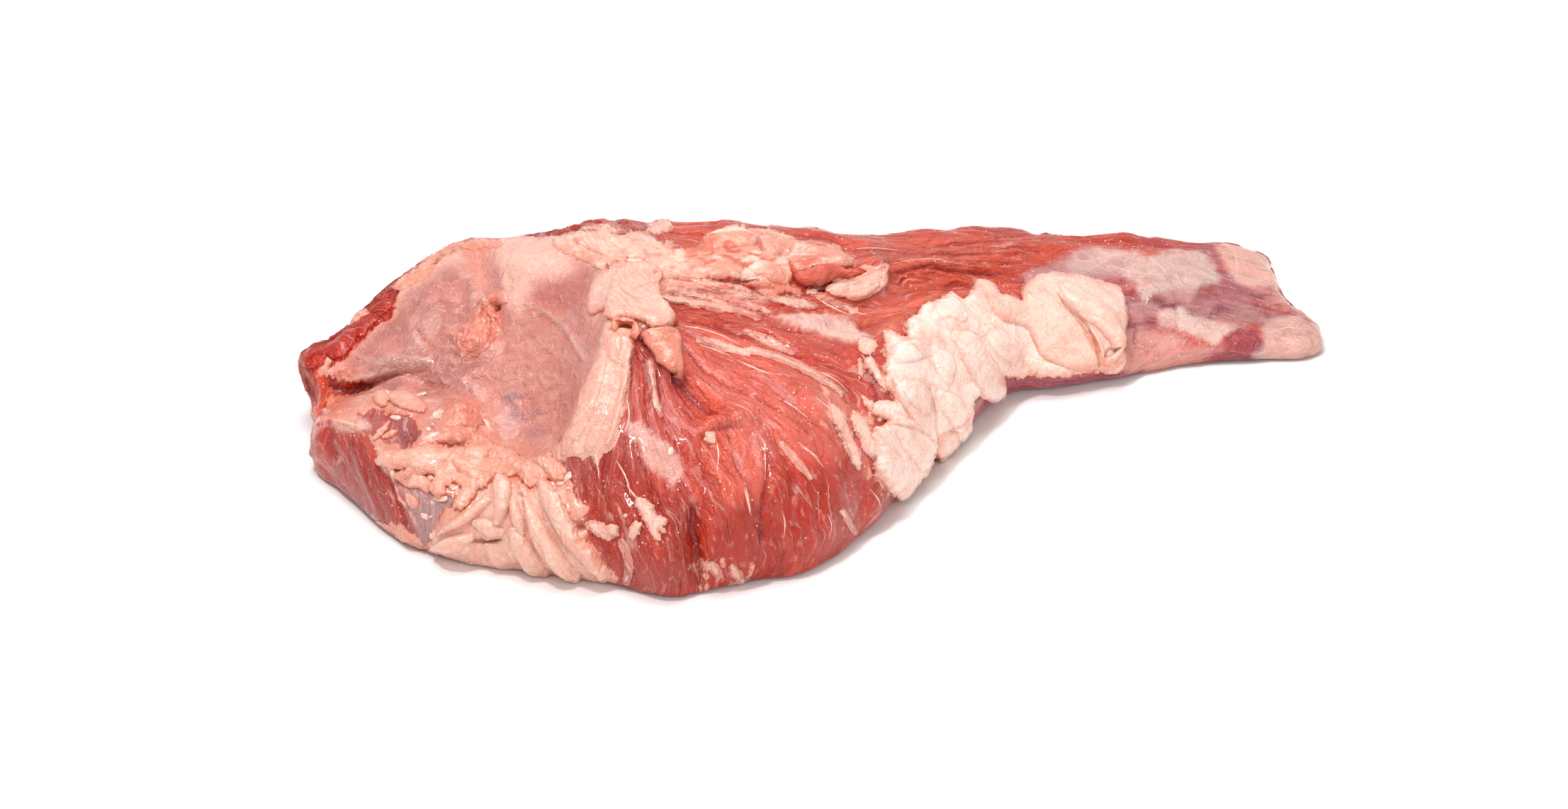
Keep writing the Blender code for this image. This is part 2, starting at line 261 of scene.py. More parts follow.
@dataclass(frozen=True)
class PhotoView:
    """The place from which the piece was seen, which also turns pixels into places on the meat."""

    target: tuple[float, float, float] = (-10.755, -35.179, 27.128)
    distance: float = 1876.06
    elevation: float = 30.0
    lens: float = 135.0
    sensor: float = 36.0
    width: int = 2213
    height: int = 1142

    def axes(self) -> tuple[Array, Array, Array]:
        """Right, up and back, as unit vectors."""
        tilt = math.radians(self.elevation)
        back = np.array([0.0, -math.cos(tilt), math.sin(tilt)])
        right = np.array([1.0, 0.0, 0.0])
        return right, np.cross(back, right), back

    def eye(self) -> Array:
        """The camera's place in millimetres."""
        return np.array(self.target) + self.axes()[2] * self.distance

    def focal(self) -> float:
        """The lens length in pixels."""
        return self.width * self.lens / self.sensor

    def project(self, points: Array) -> Array:
        """Pixels at which points in millimetres appear."""
        right, up, back = self.axes()
        away = points - self.eye()
        depth = -(away @ back)
        across = self.width / 2 + self.focal() * (away @ right) / depth
        down = self.height / 2 - self.focal() * (away @ up) / depth
        return np.column_stack([across, down])

    def facing(self, points: Array, normals: Array) -> Array:
        """Cosine between each normal and the way to the camera."""
        away = self.eye() - points
        away /= np.linalg.norm(away, axis=1)[:, None]
        return np.sum(away * normals, axis=1)

    def ray(self, pixel: Array) -> tuple[Vector, Vector]:
        """The camera's place and the direction through a pixel."""
        right, up, back = self.axes()
        way = -back * self.focal() + right * (pixel[0] - self.width / 2) - up * (pixel[1] - self.height / 2)
        return Vector(self.eye()), Vector(way / np.linalg.norm(way))

    def add_camera(self) -> None:
        """Makes the scene's camera at the photographed angle."""
        data = bpy.data.cameras.new("studio_camera")
        data.lens, data.sensor_width = self.lens, self.sensor
        data.clip_start, data.clip_end = 0.05, 50.0
        camera = bpy.data.objects.new("studio_camera", data)
        right, up, back = self.axes()
        turn = Matrix((right, up, back)).transposed().to_4x4()
        camera.matrix_world = Matrix.Translation(Vector(self.eye() * MM)) @ turn
        bpy.context.scene.collection.objects.link(camera)
        bpy.context.scene.camera = camera


VIEW = PhotoView()


@dataclass
class Skin:
    """A quad mesh as arrays: places and normals in millimetres, faces, and muscle grain coordinates."""

    points: Array
    faces: Array
    grain: Array

    def normals(self) -> Array:
        """Unit normals of the vertices.

        Returns:
            One row for each vertex.
        """
        corners = self.points[self.faces]
        crossed = np.cross(corners[:, 2] - corners[:, 0], corners[:, 3] - corners[:, 1])
        total = np.zeros_like(self.points)
        for corner in range(4):
            for axis in range(3):
                total[:, axis] += np.bincount(
                    self.faces[:, corner], crossed[:, axis], minlength=len(self.points)
                )
        return total / np.maximum(np.linalg.norm(total, axis=1), 1e-12)[:, None]

    def edges(self) -> Array:
        """Each edge once, as pairs of vertex numbers."""
        pairs = np.concatenate([self.faces[:, [k, (k + 1) % 4]] for k in range(4)])
        return np.unique(np.sort(pairs, axis=1), axis=0)

    def tree(self) -> BVHTree:
        """A search tree of the faces."""
        return BVHTree.FromPolygons(self.points.tolist(), self.faces.tolist())


def relax(points: Array, edges: Array, amount: float) -> Array:
    """Moves every point a share of the way to the mean of its neighbours."""
    total = np.zeros_like(points)
    count = np.bincount(edges.ravel(), minlength=len(points))
    for axis in range(points.shape[1]):
        total[:, axis] += np.bincount(edges[:, 0], points[edges[:, 1], axis], len(points))
        total[:, axis] += np.bincount(edges[:, 1], points[edges[:, 0], axis], len(points))
    return points + amount * (total / np.maximum(count, 1)[:, None] - points)


def cavity(skin: Skin, reach: int) -> Array:
    """How far each vertex lies below its surroundings in millimetres, positive in valleys."""
    edges = skin.edges()
    spread = skin.points
    for _ in range(reach):
        spread = relax(spread, edges, 0.8)
    return np.sum((spread - skin.points) * skin.normals(), axis=1)


@dataclass(frozen=True)
class FibreLine:
    """A muscle fibre seen in the photograph, and how far it lies across the bundles in millimetres."""

    across: float
    path: Path


@dataclass(frozen=True)
class HiddenFibre:
    """A fibre on a side that the photograph doesn't show, by its places in millimetres."""

    across: float
    places: tuple[tuple[float, float, float], ...]


@dataclass(frozen=True)
class MuscleGrain:
    """The way that the muscle fibres run, spread over the cut from a few named fibres."""

    shown: tuple[FibreLine, ...] = (
        # Top and long muscle, from the far edge down.
        FibreLine(0, path(930, 314, 1100, 320, 1280, 330, 1450, 328, 1600, 332, 1700, 342, 1788, 356)),
        FibreLine(8, path(930, 345, 1100, 350, 1280, 351, 1450, 347, 1600, 350, 1700, 360, 1795, 382)),
        FibreLine(16, path(935, 385, 1060, 390, 1180, 388, 1313, 370, 1440, 380, 1575, 392, 1700, 400,
            1800, 430)),
        FibreLine(24, path(935, 415, 1067, 428, 1180, 420, 1251, 402, 1350, 400, 1440, 415, 1700, 440,
            1830, 456)),
        FibreLine(30, path(940, 432, 1010, 440, 1063, 455, 1150, 450, 1230, 445, 1360, 430, 1600, 475,
            1850, 485)),
        # The fan, from the top round to the foot of the ridge.
        FibreLine(36, path(945, 445, 1010, 450, 1060, 464, 1122, 483, 1180, 500, 1300, 510, 1590, 515)),
        FibreLine(42, path(950, 452, 1000, 470, 1060, 490, 1130, 512, 1180, 534, 1225, 575, 1255, 640)),
        FibreLine(48, path(952, 462, 990, 488, 1040, 512, 1090, 535, 1140, 570, 1180, 620, 1210, 690)),
        FibreLine(54, path(953, 480, 985, 520, 1020, 545, 1070, 570, 1115, 615, 1150, 670, 1180, 765)),
        FibreLine(60, path(955, 500, 975, 540, 1010, 575, 1060, 610, 1095, 660, 1120, 730, 1128, 795)),
        FibreLine(66, path(950, 520, 965, 560, 1000, 600, 1035, 650, 1062, 700, 1080, 760, 1084, 808)),
        FibreLine(72, path(935, 520, 945, 570, 970, 620, 1005, 680, 1030, 740, 1040, 812)),
        FibreLine(78, path(918, 510, 922, 570, 940, 630, 970, 700, 1000, 770, 1004, 828)),
        FibreLine(84, path(900, 510, 905, 580, 918, 640, 940, 710, 970, 780, 974, 838)),
        FibreLine(90, path(885, 560, 885, 620, 895, 680, 915, 740, 940, 800, 948, 842)),
        FibreLine(96, path(855, 600, 850, 650, 855, 700, 875, 760, 903, 825)),
        FibreLine(102, path(815, 620, 812, 680, 820, 740, 845, 800, 862, 822)),
        # The membrane side and the low muscle at the left end.
        FibreLine(112, path(790, 420, 800, 500, 790, 600, 775, 680, 785, 760, 800, 806)),
        FibreLine(124, path(740, 360, 745, 450, 750, 560, 735, 680, 740, 798)),
        FibreLine(136, path(690, 352, 690, 450, 700, 560, 690, 680, 690, 788)),
        FibreLine(150, path(640, 358, 630, 450, 650, 560, 640, 660, 630, 775)),
        FibreLine(162, path(590, 398, 570, 480, 590, 570, 590, 660, 600, 758)),
        FibreLine(170, path(530, 445, 520, 520, 520, 590, 545, 660, 580, 740)),
        FibreLine(178, path(482, 482, 480, 540, 490, 600, 510, 660, 545, 730)),
        FibreLine(186, path(444, 505, 447, 560, 455, 620, 480, 680, 510, 712)),
    )
    hidden: tuple[HiddenFibre, ...] = (
        HiddenFibre(-8, ((-140, 40, 25), (-80, 42, 40), (0, 48, 40), (60, 72, 28), (110, 95, 15), (150, 103,
            8))),
        HiddenFibre(-22, ((-140, 30, 0), (-60, 30, 0), (20, 40, 0), (90, 75, 0), (150, 90, 0))),
    )
    spacing: float = 26.0

    def samples(self, tree: BVHTree) -> tuple[Array, Array]:
        """Places on the meat, with the way along and across the fibres at each.

        Args:
            tree: The coarse surface, for rays from the camera.

        Returns:
            The places, and the distance along and across the fibres at each.
        """
        places, values = [], []
        runs = [(fibre.across, [np.array(p, float) for p in fibre.places]) for fibre in self.hidden]
        for fibre in self.shown:
            pixels = smooth_curve(fibre.path, closed=False, step=self.spacing)
            hits = [tree.ray_cast(*VIEW.ray(pixel))[0] for pixel in pixels]
            runs.append((fibre.across, [np.array(hit) for hit in hits if hit is not None]))
        for across, run in runs:
            along = 0.0
            for before, place in zip([run[0], *run], run):
                along += float(np.linalg.norm(place - before))
                places.append(place)
                values.append((along, across))
        return np.array(places), np.array(values)

    def lay(self, skin: Skin) -> Array:
        """Spreads the coordinates along and across the fibres over a mesh.

        Args:
            skin: The mesh that the fibres run over.

        Returns:
            For each vertex the way along and the way across the fibres, in millimetres.
        """
        places, values = self.samples(skin.tree())
        count = len(places)
        plane = np.column_stack([np.ones(count), places])
        gaps = np.linalg.norm(places[:, None] - places[None], axis=2) - 0.5 * np.eye(count)
        system = np.block([[gaps, plane], [plane.T, np.zeros((4, 4))]])
        weights = np.linalg.solve(system, np.vstack([values, np.zeros((4, 2))]))
        result = np.column_stack([np.ones(len(skin.points)), skin.points]) @ weights[count:]
        for place, weight in zip(places, weights):
            result += np.linalg.norm(skin.points - place, axis=1)[:, None] * weight
        return result


@dataclass(frozen=True)
class Relief:
    """A raised or sunk line on the meat, with the painted shade that gathers in it."""

    path: Path
    height: float
    half_width: float
    dark: float = 0.0
    crisp: bool = False
    through: bool = False

    def read(self, at: Array) -> tuple[Array, Array]:
        """Height in millimetres and painted shade at each pixel.

        Args:
            at: Pixels of the photo.

        Returns:
            The height and the painted shade.
        """
        line = smooth_curve(self.path, closed=False)
        reach = 2.5 * self.half_width
        near = np.all((at > line.min(axis=0) - reach) & (at < line.max(axis=0) + reach), axis=1)
        height, dark = np.zeros(len(at)), np.zeros(len(at))
        gap, along = near_line(at[near], line)
        taper = 0.35 + 0.65 * np.sin(np.pi * np.clip(along, 0.04, 0.96)) ** 0.6
        share = np.exp(-((gap / (self.half_width * taper)) ** 2))
        if self.crisp:
            share = np.sqrt(np.clip(1 - (gap / (1.25 * self.half_width * taper)) ** 2, 0, 1))
        height[near] = self.height * share * taper
        dark[near] = self.dark * share**1.5
        return height, dark


@dataclass(frozen=True)
class Area:
    """An outlined area of one tissue in the photograph: its colour, its edge and its patches."""

    shade: str
    outline: Path
    soft: float = 6.0
    ragged: float = 5.0
    patch: tuple[float, float] = (0.0, 0.0)


class Tissue(Enum):
    """The kinds of tissue that the outlines tell apart."""

    LEAN = "lean"
    FAT = "fat"


# Outlines of the pale tissue, in pixels of the photograph.
LEFT_SKIN: Path = path(
    461, 520, 490, 508, 502, 488, 533, 459, 555, 445, 551, 431, 569, 405, 590, 388, 612, 372, 640, 356,
    665, 343, 700, 338, 727, 334, 779, 336, 820, 352, 850, 368, 880, 450, 880, 520, 860, 600, 835, 680,
    825, 730, 840, 790, 870, 815, 845, 826, 780, 818, 700, 804, 640, 794, 604, 770, 585, 737, 563, 706,
    556, 680, 540, 662, 530, 640, 514, 616, 490, 600, 467, 596, 450, 590, 455, 560, 463, 545
)
RIDGE_FAT: Path = path(
    857, 374, 878, 363, 900, 369, 915, 378, 930, 391, 928, 421, 943, 447, 944, 458, 930, 464, 911, 462,
    900, 470, 889, 502, 887, 539, 883, 570, 872, 604, 862, 630, 840, 648, 822, 690, 795, 690, 792, 655,
    806, 610, 822, 560, 839, 528, 848, 508, 860, 489, 861, 465, 855, 445, 833, 452, 831, 430, 837, 408,
    846, 393
)
LOBE_FAT: Path = path(
    606, 770, 622, 745, 650, 722, 680, 700, 694, 688, 700, 672, 716, 674, 722, 690, 735, 682, 750, 694,
    762, 680, 776, 684, 790, 704, 808, 740, 830, 770, 850, 795, 862, 812, 845, 824, 800, 820, 749, 810,
    700, 802, 640, 788, 612, 778
)
BAND_FAT: Path = path(
    1247, 479, 1255, 471, 1276, 479, 1279, 456, 1295, 448, 1302, 437, 1321, 427, 1347, 414, 1357, 424,
    1373, 411, 1383, 403, 1399, 409, 1407, 422, 1425, 427, 1441, 432, 1446, 409, 1468, 396, 1516, 396,
    1556, 407, 1578, 418, 1586, 449, 1577, 490, 1584, 500, 1583, 519, 1537, 524, 1492, 528, 1438, 529,
    1411, 533, 1412, 552, 1401, 561, 1378, 560, 1368, 571, 1365, 615, 1347, 626, 1334, 634, 1318, 644,
    1315, 662, 1289, 683, 1287, 702, 1274, 708, 1255, 694, 1237, 673, 1232, 655, 1234, 628, 1229, 615,
    1234, 607, 1253, 597, 1232, 584, 1237, 571, 1260, 567, 1255, 547, 1247, 526, 1250, 505
)
TOP_FAT: Path = path(
    940, 345, 965, 352, 992, 345, 996, 332, 1020, 326, 1050, 325, 1085, 327, 1110, 336, 1136, 343,
    1160, 345, 1185, 354, 1203, 365, 1190, 374, 1160, 374, 1136, 380, 1118, 388, 1112, 400, 1128, 410,
    1126, 418, 1106, 414, 1082, 416, 1070, 407, 1057, 399, 1037, 397, 1013, 393, 993, 391, 967, 388,
    950, 376, 938, 362
)
BACK_LEFT_FAT: Path = path(
    785, 340, 815, 330, 845, 328, 870, 332, 900, 330, 925, 338, 940, 348, 950, 362, 967, 378, 972, 388,
    950, 388, 930, 381, 900, 372, 880, 365, 857, 374, 840, 376, 815, 362, 795, 352
)
STRIPED_FAT: Path = path(
    928, 392, 973, 394, 1024, 400, 1060, 408, 1090, 420, 1060, 428, 1010, 420, 960, 416, 928, 410
)
TAIL_SKIN: Path = path(
    1507, 369, 1538, 350, 1600, 355, 1616, 364, 1640, 358, 1666, 353, 1705, 365, 1723, 387, 1718, 398,
    1696, 405, 1679, 418, 1652, 409, 1626, 416, 1616, 425, 1604, 405, 1582, 387, 1538, 383, 1512, 380
)
TAIL_CORNER: Path = path(
    1718, 346, 1776, 350, 1793, 365, 1808, 387, 1802, 400, 1758, 403, 1736, 383
)
TAIL_TIP: Path = path(
    1784, 457, 1820, 443, 1846, 448, 1878, 473, 1872, 490, 1848, 512, 1784, 512, 1771, 502, 1784, 484
)
TAIL_PATCH: Path = path(
    1663, 432, 1680, 440, 1696, 444, 1718, 453, 1745, 462, 1727, 475, 1718, 486, 1694, 477, 1670, 466,
    1661, 460
)
TAIL_STREAK: Path = path(
    1587, 460, 1620, 462, 1650, 464, 1690, 480, 1722, 492, 1690, 502, 1640, 516, 1592, 524, 1584, 500
)
FAN_FAT: Path = path(
    883, 614, 890, 597, 905, 600, 919, 610, 942, 627, 952, 640, 962, 650, 968, 665, 958, 680, 949, 689,
    936, 673, 920, 660, 913, 656, 903, 637
)
UPPER_FAN_FAT: Path = path(
    1087, 443, 1110, 440, 1140, 437, 1172, 443, 1205, 459, 1230, 474, 1221, 482, 1189, 478, 1156, 471,
    1130, 462, 1100, 452
)
BAND_FRINGE_A: Path = path(
    1172, 572, 1186, 580, 1200, 612, 1214, 648, 1209, 664, 1198, 650, 1186, 616, 1174, 590
)
BAND_FRINGE_B: Path = path(
    1202, 587, 1212, 586, 1222, 600, 1230, 612, 1237, 626, 1236, 648, 1228, 644, 1218, 630, 1210, 616,
    1204, 602
)
BAND_FRINGE_C: Path = path(
    1222, 508, 1228, 506, 1240, 524, 1256, 546, 1250, 552, 1236, 536, 1226, 520
)
LOW_LEFT_FAT: Path = path(
    505, 722, 530, 730, 560, 745, 600, 770, 590, 780, 560, 768, 525, 748
)


@dataclass(frozen=True)
class PaleArea:
    """Pale tissue on the body: its outline, how ragged that is, and how deep the paleness gets."""

    outline: Path
    ragged: float = 4.0
    most: float = 8.0


PALE_AREAS: tuple[PaleArea, ...] = (
    PaleArea(LEFT_SKIN, 6.0),
    PaleArea(RIDGE_FAT, 3.0),
    PaleArea(LOBE_FAT, 5.0),
    PaleArea(BAND_FAT, 3.0),
    PaleArea(TOP_FAT, 8.0),
    PaleArea(BACK_LEFT_FAT, 8.0, 0.9),
    PaleArea(path(1150, 560, 1180, 545, 1230, 600, 1240, 660, 1210, 670, 1180, 620), 6.0, -0.5),
    PaleArea(path(978, 800, 1010, 790, 1060, 800, 1055, 825, 1010, 832, 985, 828), 5.0, -0.3),
    PaleArea(BAND_FRINGE_A, 4.0),
    PaleArea(BAND_FRINGE_B, 4.0),
    PaleArea(BAND_FRINGE_C, 4.0),
    PaleArea(LOW_LEFT_FAT, 4.0, 1.0),
)

# Where torn crumbs of fat lie, and how thickly from 0 to 1.
FRAYED_AREAS: tuple[PaleArea, ...] = (
    PaleArea(path(545, 655, 590, 660, 640, 640, 720, 650, 790, 650, 800, 690, 730, 700, 690, 670, 650, 700,
        610, 740, 590, 730, 600, 690, 560, 672), 8.0, 1.0),
    PaleArea(path(600, 590, 630, 575, 680, 575, 700, 610, 690, 640, 640, 640, 600, 625), 8.0, 0.8),
    PaleArea(path(520, 560, 560, 550, 600, 560, 610, 590, 570, 600, 530, 590), 8.0, 0.4),
    PaleArea(path(600, 745, 650, 720, 700, 750, 800, 800, 860, 812, 800, 822, 680, 798), 6.0, 0.35),
    PaleArea(path(866, 640, 890, 600, 905, 640, 880, 690, 860, 690), 5.0, 0.25),
    PaleArea(path(888, 600, 925, 612, 955, 655, 940, 675, 905, 650), 5.0, 0.3),
    PaleArea(path(1190, 570, 1240, 590, 1245, 650, 1215, 650), 5.0, 0.5),
    PaleArea(path(1245, 480, 1262, 470, 1270, 540, 1250, 560), 4.0, 0.4),
    PaleArea(path(890, 706, 930, 728, 944, 748, 922, 772, 890, 760), 4.0, 0.6),
    PaleArea(path(840, 360, 930, 345, 1000, 380, 940, 392, 880, 380), 6.0, 0.15),
)

# Lean or silverskin that shows through the pale tissue.
LEAN_WINDOWS: tuple[PaleArea, ...] = (
    PaleArea(path(505, 592, 520, 582, 545, 577, 568, 583, 588, 597, 592, 620, 575, 632, 555, 625, 530, 616,
        508, 606), 4.0),
    PaleArea(path(548, 663, 580, 664, 606, 672, 598, 682, 575, 690, 558, 684), 4.0),
    PaleArea(path(565, 690, 600, 692, 640, 700, 652, 712, 622, 724, 613, 748, 614, 776, 600, 770, 588, 735,
        570, 706), 5.0),
    PaleArea(path(793, 622, 812, 612, 836, 646, 846, 690, 842, 716, 826, 714, 808, 690, 797, 658), 4.0),
    PaleArea(path(425, 500, 452, 488, 470, 474, 505, 458, 515, 443, 548, 412, 560, 422, 553, 438, 533, 454,
        522, 468, 506, 482, 488, 500, 472, 512, 448, 524, 425, 522), 4.0),
    PaleArea(path(440, 528, 466, 532, 486, 542, 480, 556, 462, 560, 455, 586, 436, 590, 436, 560), 4.0),
    PaleArea(path(460, 539, 484, 541, 512, 540, 522, 543, 500, 554, 476, 559, 464, 556), 3.0),
    PaleArea(path(966, 334, 994, 331, 990, 352, 968, 350), 4.0),
)

LEAN_AREAS: tuple[Area, ...] = (
    # Long back muscle and the top.
    Area("#D0604F", path(1160, 340, 1300, 335, 1560, 330, 1560, 380, 1440, 420, 1300, 430, 1190, 400)),
    Area("#E0786A", path(1190, 350, 1300, 340, 1420, 340, 1400, 362, 1280, 372, 1200, 372), 10),
    Area("#DB6F5C", path(1149, 422, 1230, 405, 1330, 395, 1278, 460, 1240, 480, 1190, 455)),
    # Tail.
    Area("#864650", path(1575, 440, 1637, 405, 1731, 390, 1812, 430, 1800, 455, 1700, 450, 1600, 470)),
    Area("#8A4650", path(1675, 507, 1700, 495, 1725, 486, 1737, 467, 1772, 466, 1786, 485, 1774, 512)),
    Area("#B9797C", path(1440, 395, 1500, 370, 1600, 390, 1600, 440, 1560, 410, 1480, 400), 10),
    Area("#C84D46", path(1600, 328, 1670, 334, 1700, 344, 1690, 356, 1637, 350)),
    Area("#A8616A", path(1690, 352, 1712, 348, 1740, 388, 1800, 402, 1830, 440, 1790, 440, 1720, 412)),
    Area("#CF8A84", path(1762, 402, 1806, 402, 1840, 444, 1812, 446, 1780, 424), 8),
    Area("#7E4350", path(1600, 410, 1690, 404, 1790, 420, 1800, 450, 1700, 460, 1600, 450), 8, 6, (16, 9)),
    Area("#BD8280", path(1580, 430, 1690, 412, 1800, 430, 1780, 460, 1600, 470), 8, 6, (13, 6)),
    # Left end: fresh cut edge, painted shade in the crease, and low muscle.
    Area("#C24438", path(422, 500, 460, 478, 500, 440, 560, 410, 560, 450, 500, 500, 450, 530), 10),
    Area("#AA2E27", path(440, 500, 470, 490, 520, 440, 545, 425, 535, 450, 490, 500, 455, 515), 6),
    Area("#B02E22", path(425, 525, 470, 530, 500, 560, 470, 600, 440, 640, 425, 610, 440, 570), 10),
    Area("#A83A30", path(467, 600, 530, 650, 575, 720, 612, 785, 560, 780, 500, 712, 463, 650), 8),
    Area("#B06660", path(505, 592, 545, 577, 588, 597, 592, 620, 560, 628, 520, 612), 6),
    Area("#8F4A4B", path(556, 590, 580, 592, 592, 612, 580, 632, 562, 618), 6),
    Area("#E2B3A8", path(467, 600, 480, 590, 520, 592, 520, 606, 490, 612), 5),
    Area("#A8696A", path(545, 660, 606, 668, 600, 684, 560, 690), 5),
    Area("#BD9290", path(560, 686, 650, 700, 640, 716, 616, 740, 616, 780, 590, 760, 570, 706), 7),
    Area("#A8706C", path(790, 615, 815, 608, 840, 650, 850, 700, 840, 740, 800, 700), 8),
    Area("#E45A42", path(440, 528, 462, 532, 470, 550, 458, 584, 438, 590), 5),
    # Painted shade in the deep crease at the left end.
    Area("#A3231B", path(462, 534, 490, 528, 512, 530, 510, 542, 482, 554, 466, 548), 5),
    Area("#E0563F", path(964, 332, 994, 331, 990, 355, 966, 352), 4),
    # Lean to the right of the ridge.
    Area("#B25850", path(850, 600, 800, 620, 800, 720, 860, 810, 930, 830, 930, 720, 890, 620), 14),
    # Painted shadow of the ridge cap and tab on the lean to the right of the ridge.
    Area("#CB6055", path(900, 480, 960, 480, 985, 560, 960, 640, 910, 620, 890, 560), 12),
    Area("#D76E60", path(960, 460, 1080, 480, 1200, 560, 1190, 640, 1060, 620, 990, 540), 20),
    Area("#D9695A", path(985, 560, 1040, 580, 1060, 650, 1050, 760, 1000, 800, 985, 700), 14),
    Area("#E8705C", path(958, 505, 975, 515, 1012, 560, 1006, 584, 985, 566, 962, 530), 5),
    Area("#D94C3A", path(796, 322, 830, 314, 884, 314, 890, 332, 850, 328, 800, 340), 5),
    Area("#D4604F", path(938, 322, 997, 322, 1000, 345, 965, 350, 940, 342), 5),
    Area("#CC5548", path(992, 700, 1012, 706, 1016, 780, 1000, 800, 990, 760), 7),
    Area("#AC453C", path(872, 650, 930, 690, 978, 720, 982, 820, 930, 840, 880, 820, 860, 720), 14),
    # Painted shade: the low front of the fan, darker and redder than its top.
    Area("#B84236", path(1050, 700, 1190, 660, 1260, 720, 1190, 800, 1060, 830, 960, 850), 18),
    Area("#B8504C", path(1216, 505, 1235, 490, 1256, 520, 1258, 568, 1235, 560), 5),
    Area("#AE5E68", path(1362, 575, 1408, 536, 1500, 530, 1600, 518, 1612, 530, 1500, 564, 1400, 600), 6),
)
FAT_AREAS: tuple[Area, ...] = (
    # Thin membrane over the left side.
    Area("#CC8A80", path(480, 500, 620, 380, 760, 350, 850, 380, 850, 500, 800, 620, 640, 600, 500, 590),
        16),
    Area("#AE6F68", path(500, 510, 560, 440, 640, 380, 680, 440, 660, 560, 560, 560), 14),
    Area("#BD756E", path(753, 400, 835, 387, 835, 447, 800, 470, 760, 440), 12),
    Area("#A87C80", path(712, 560, 744, 556, 764, 600, 760, 630, 735, 646, 716, 620), 12),
    Area("#C9928F", path(800, 440, 815, 450, 832, 512, 822, 530, 808, 490), 8),
    # Painted sheen on the top of the membrane's bulge.
    Area("#F2BBAC", path(703, 359, 740, 343, 800, 354, 805, 382, 757, 402, 735, 443, 709, 413), 15),
    Area("#D99080", path(651, 346, 686, 344, 690, 363, 686, 414, 668, 398, 655, 370), 5),
    Area("#C58A86", path(680, 378, 702, 376, 708, 422, 690, 410), 6),
    Area("#D87A6C", path(645, 476, 668, 452, 688, 426, 704, 414, 712, 440, 694, 480, 662, 502), 12, 8),
    Area("#B0746E", path(514, 582, 569, 580, 594, 614, 578, 633, 548, 606), 6),
    Area("#E08274", path(629, 580, 655, 562, 678, 585, 655, 603), 6),
    Area("#CE8C7E", path(480, 590, 560, 560, 700, 600, 780, 640, 700, 700, 600, 700, 520, 620), 14),
    Area("#DE9F8C", path(560, 650, 640, 600, 720, 660, 800, 700, 860, 800, 700, 800, 600, 740), 12),
    Area("#C07A74", path(555, 664, 584, 661, 600, 682, 641, 700, 612, 712, 584, 702), 6),
    Area("#B98484", path(604, 722, 624, 722, 626, 765, 606, 762), 6),
    # Patches of blood tint and of paler skin on the membrane.
    Area("#C8827A", path(500, 510, 620, 400, 690, 380, 720, 450, 830, 450, 830, 520, 760, 620, 560, 590),
        14, 6, (34, 26)),
    Area("#D7978B", path(640, 400, 690, 370, 720, 450, 830, 450, 840, 520, 760, 600, 640, 580), 14, 6, (15,
        7)),
    # Ridge, lobes and band, the whitest fat.
    Area("#E7AD9E", RIDGE_FAT, 13, 2),
    Area("#EFA58F", path(865, 447, 898, 447, 900, 470, 881, 499, 866, 470), 5),
    Area("#EBB09D", path(865, 500, 889, 500, 887, 560, 850, 655, 835, 650, 860, 580), 5),
    Area("#F9D3C2", LOBE_FAT, 8, 4),
    Area("#FFE9DD", BAND_FAT, 4, 2),
    Area("#F6CDBC", BAND_FAT, 6, 3, (26, 20)),
    Area("#F8D2C2", path(1260, 590, 1365, 560, 1365, 615, 1290, 700, 1240, 680), 14),
    Area("#F3B8A4", path(1415, 505, 1480, 515, 1580, 505, 1590, 524, 1480, 537, 1412, 540), 7),
    # Top.
    Area("#E9A592", TOP_FAT, 8, 4),
    Area("#D9705A", path(948, 336, 985, 338, 1008, 344, 1006, 362, 975, 362, 950, 358), 8),
    Area("#CC5E4E", TOP_FAT, 5, 3, (20, 7)),
    Area("#FADFCF", TOP_FAT, 5, 3, (24, 9)),
    Area("#DD7462", BACK_LEFT_FAT, 5, 3, (16, 7)),
    Area("#FBE0D0", BACK_LEFT_FAT, 5, 3, (20, 8)),
    Area("#E58473", path(1069, 402, 1128, 404, 1120, 418, 1080, 414), 4),
    # Tail skins.
    Area("#E6C1B3", TAIL_SKIN, 5, 3),
    Area("#C49A98", path(1462, 372, 1530, 352, 1570, 362, 1580, 386, 1500, 400), 12),
    Area("#EEBBAC", TAIL_CORNER, 5, 3),
    Area("#E5B9AB", TAIL_TIP, 5, 3),
    Area("#F0CFC0", TAIL_PATCH, 4, 2),
    Area("#CC6C5A", path(452, 556, 480, 556, 500, 566, 486, 586, 462, 596, 448, 584), 8),
    Area("#B9453A", path(466, 524, 490, 520, 516, 523, 500, 533, 476, 536), 5, 3),
    # Painted shadow, orange, down the inside of the band's curl.
    Area("#E08A68", path(1520, 452, 1538, 470, 1548, 498, 1558, 514, 1548, 518, 1534, 500, 1524, 476), 4,
        2),
    Area("#E2A898", TAIL_STREAK, 5, 4),
)

@dataclass(frozen=True)
class Veil:
    """A thin smooth skin over the tissue: how strongly it hides what lies under it, and its colour."""

    strength: float
    outline: Path
    shade: str = ""
    soft: float = 8.0
    ragged: float = 6.0


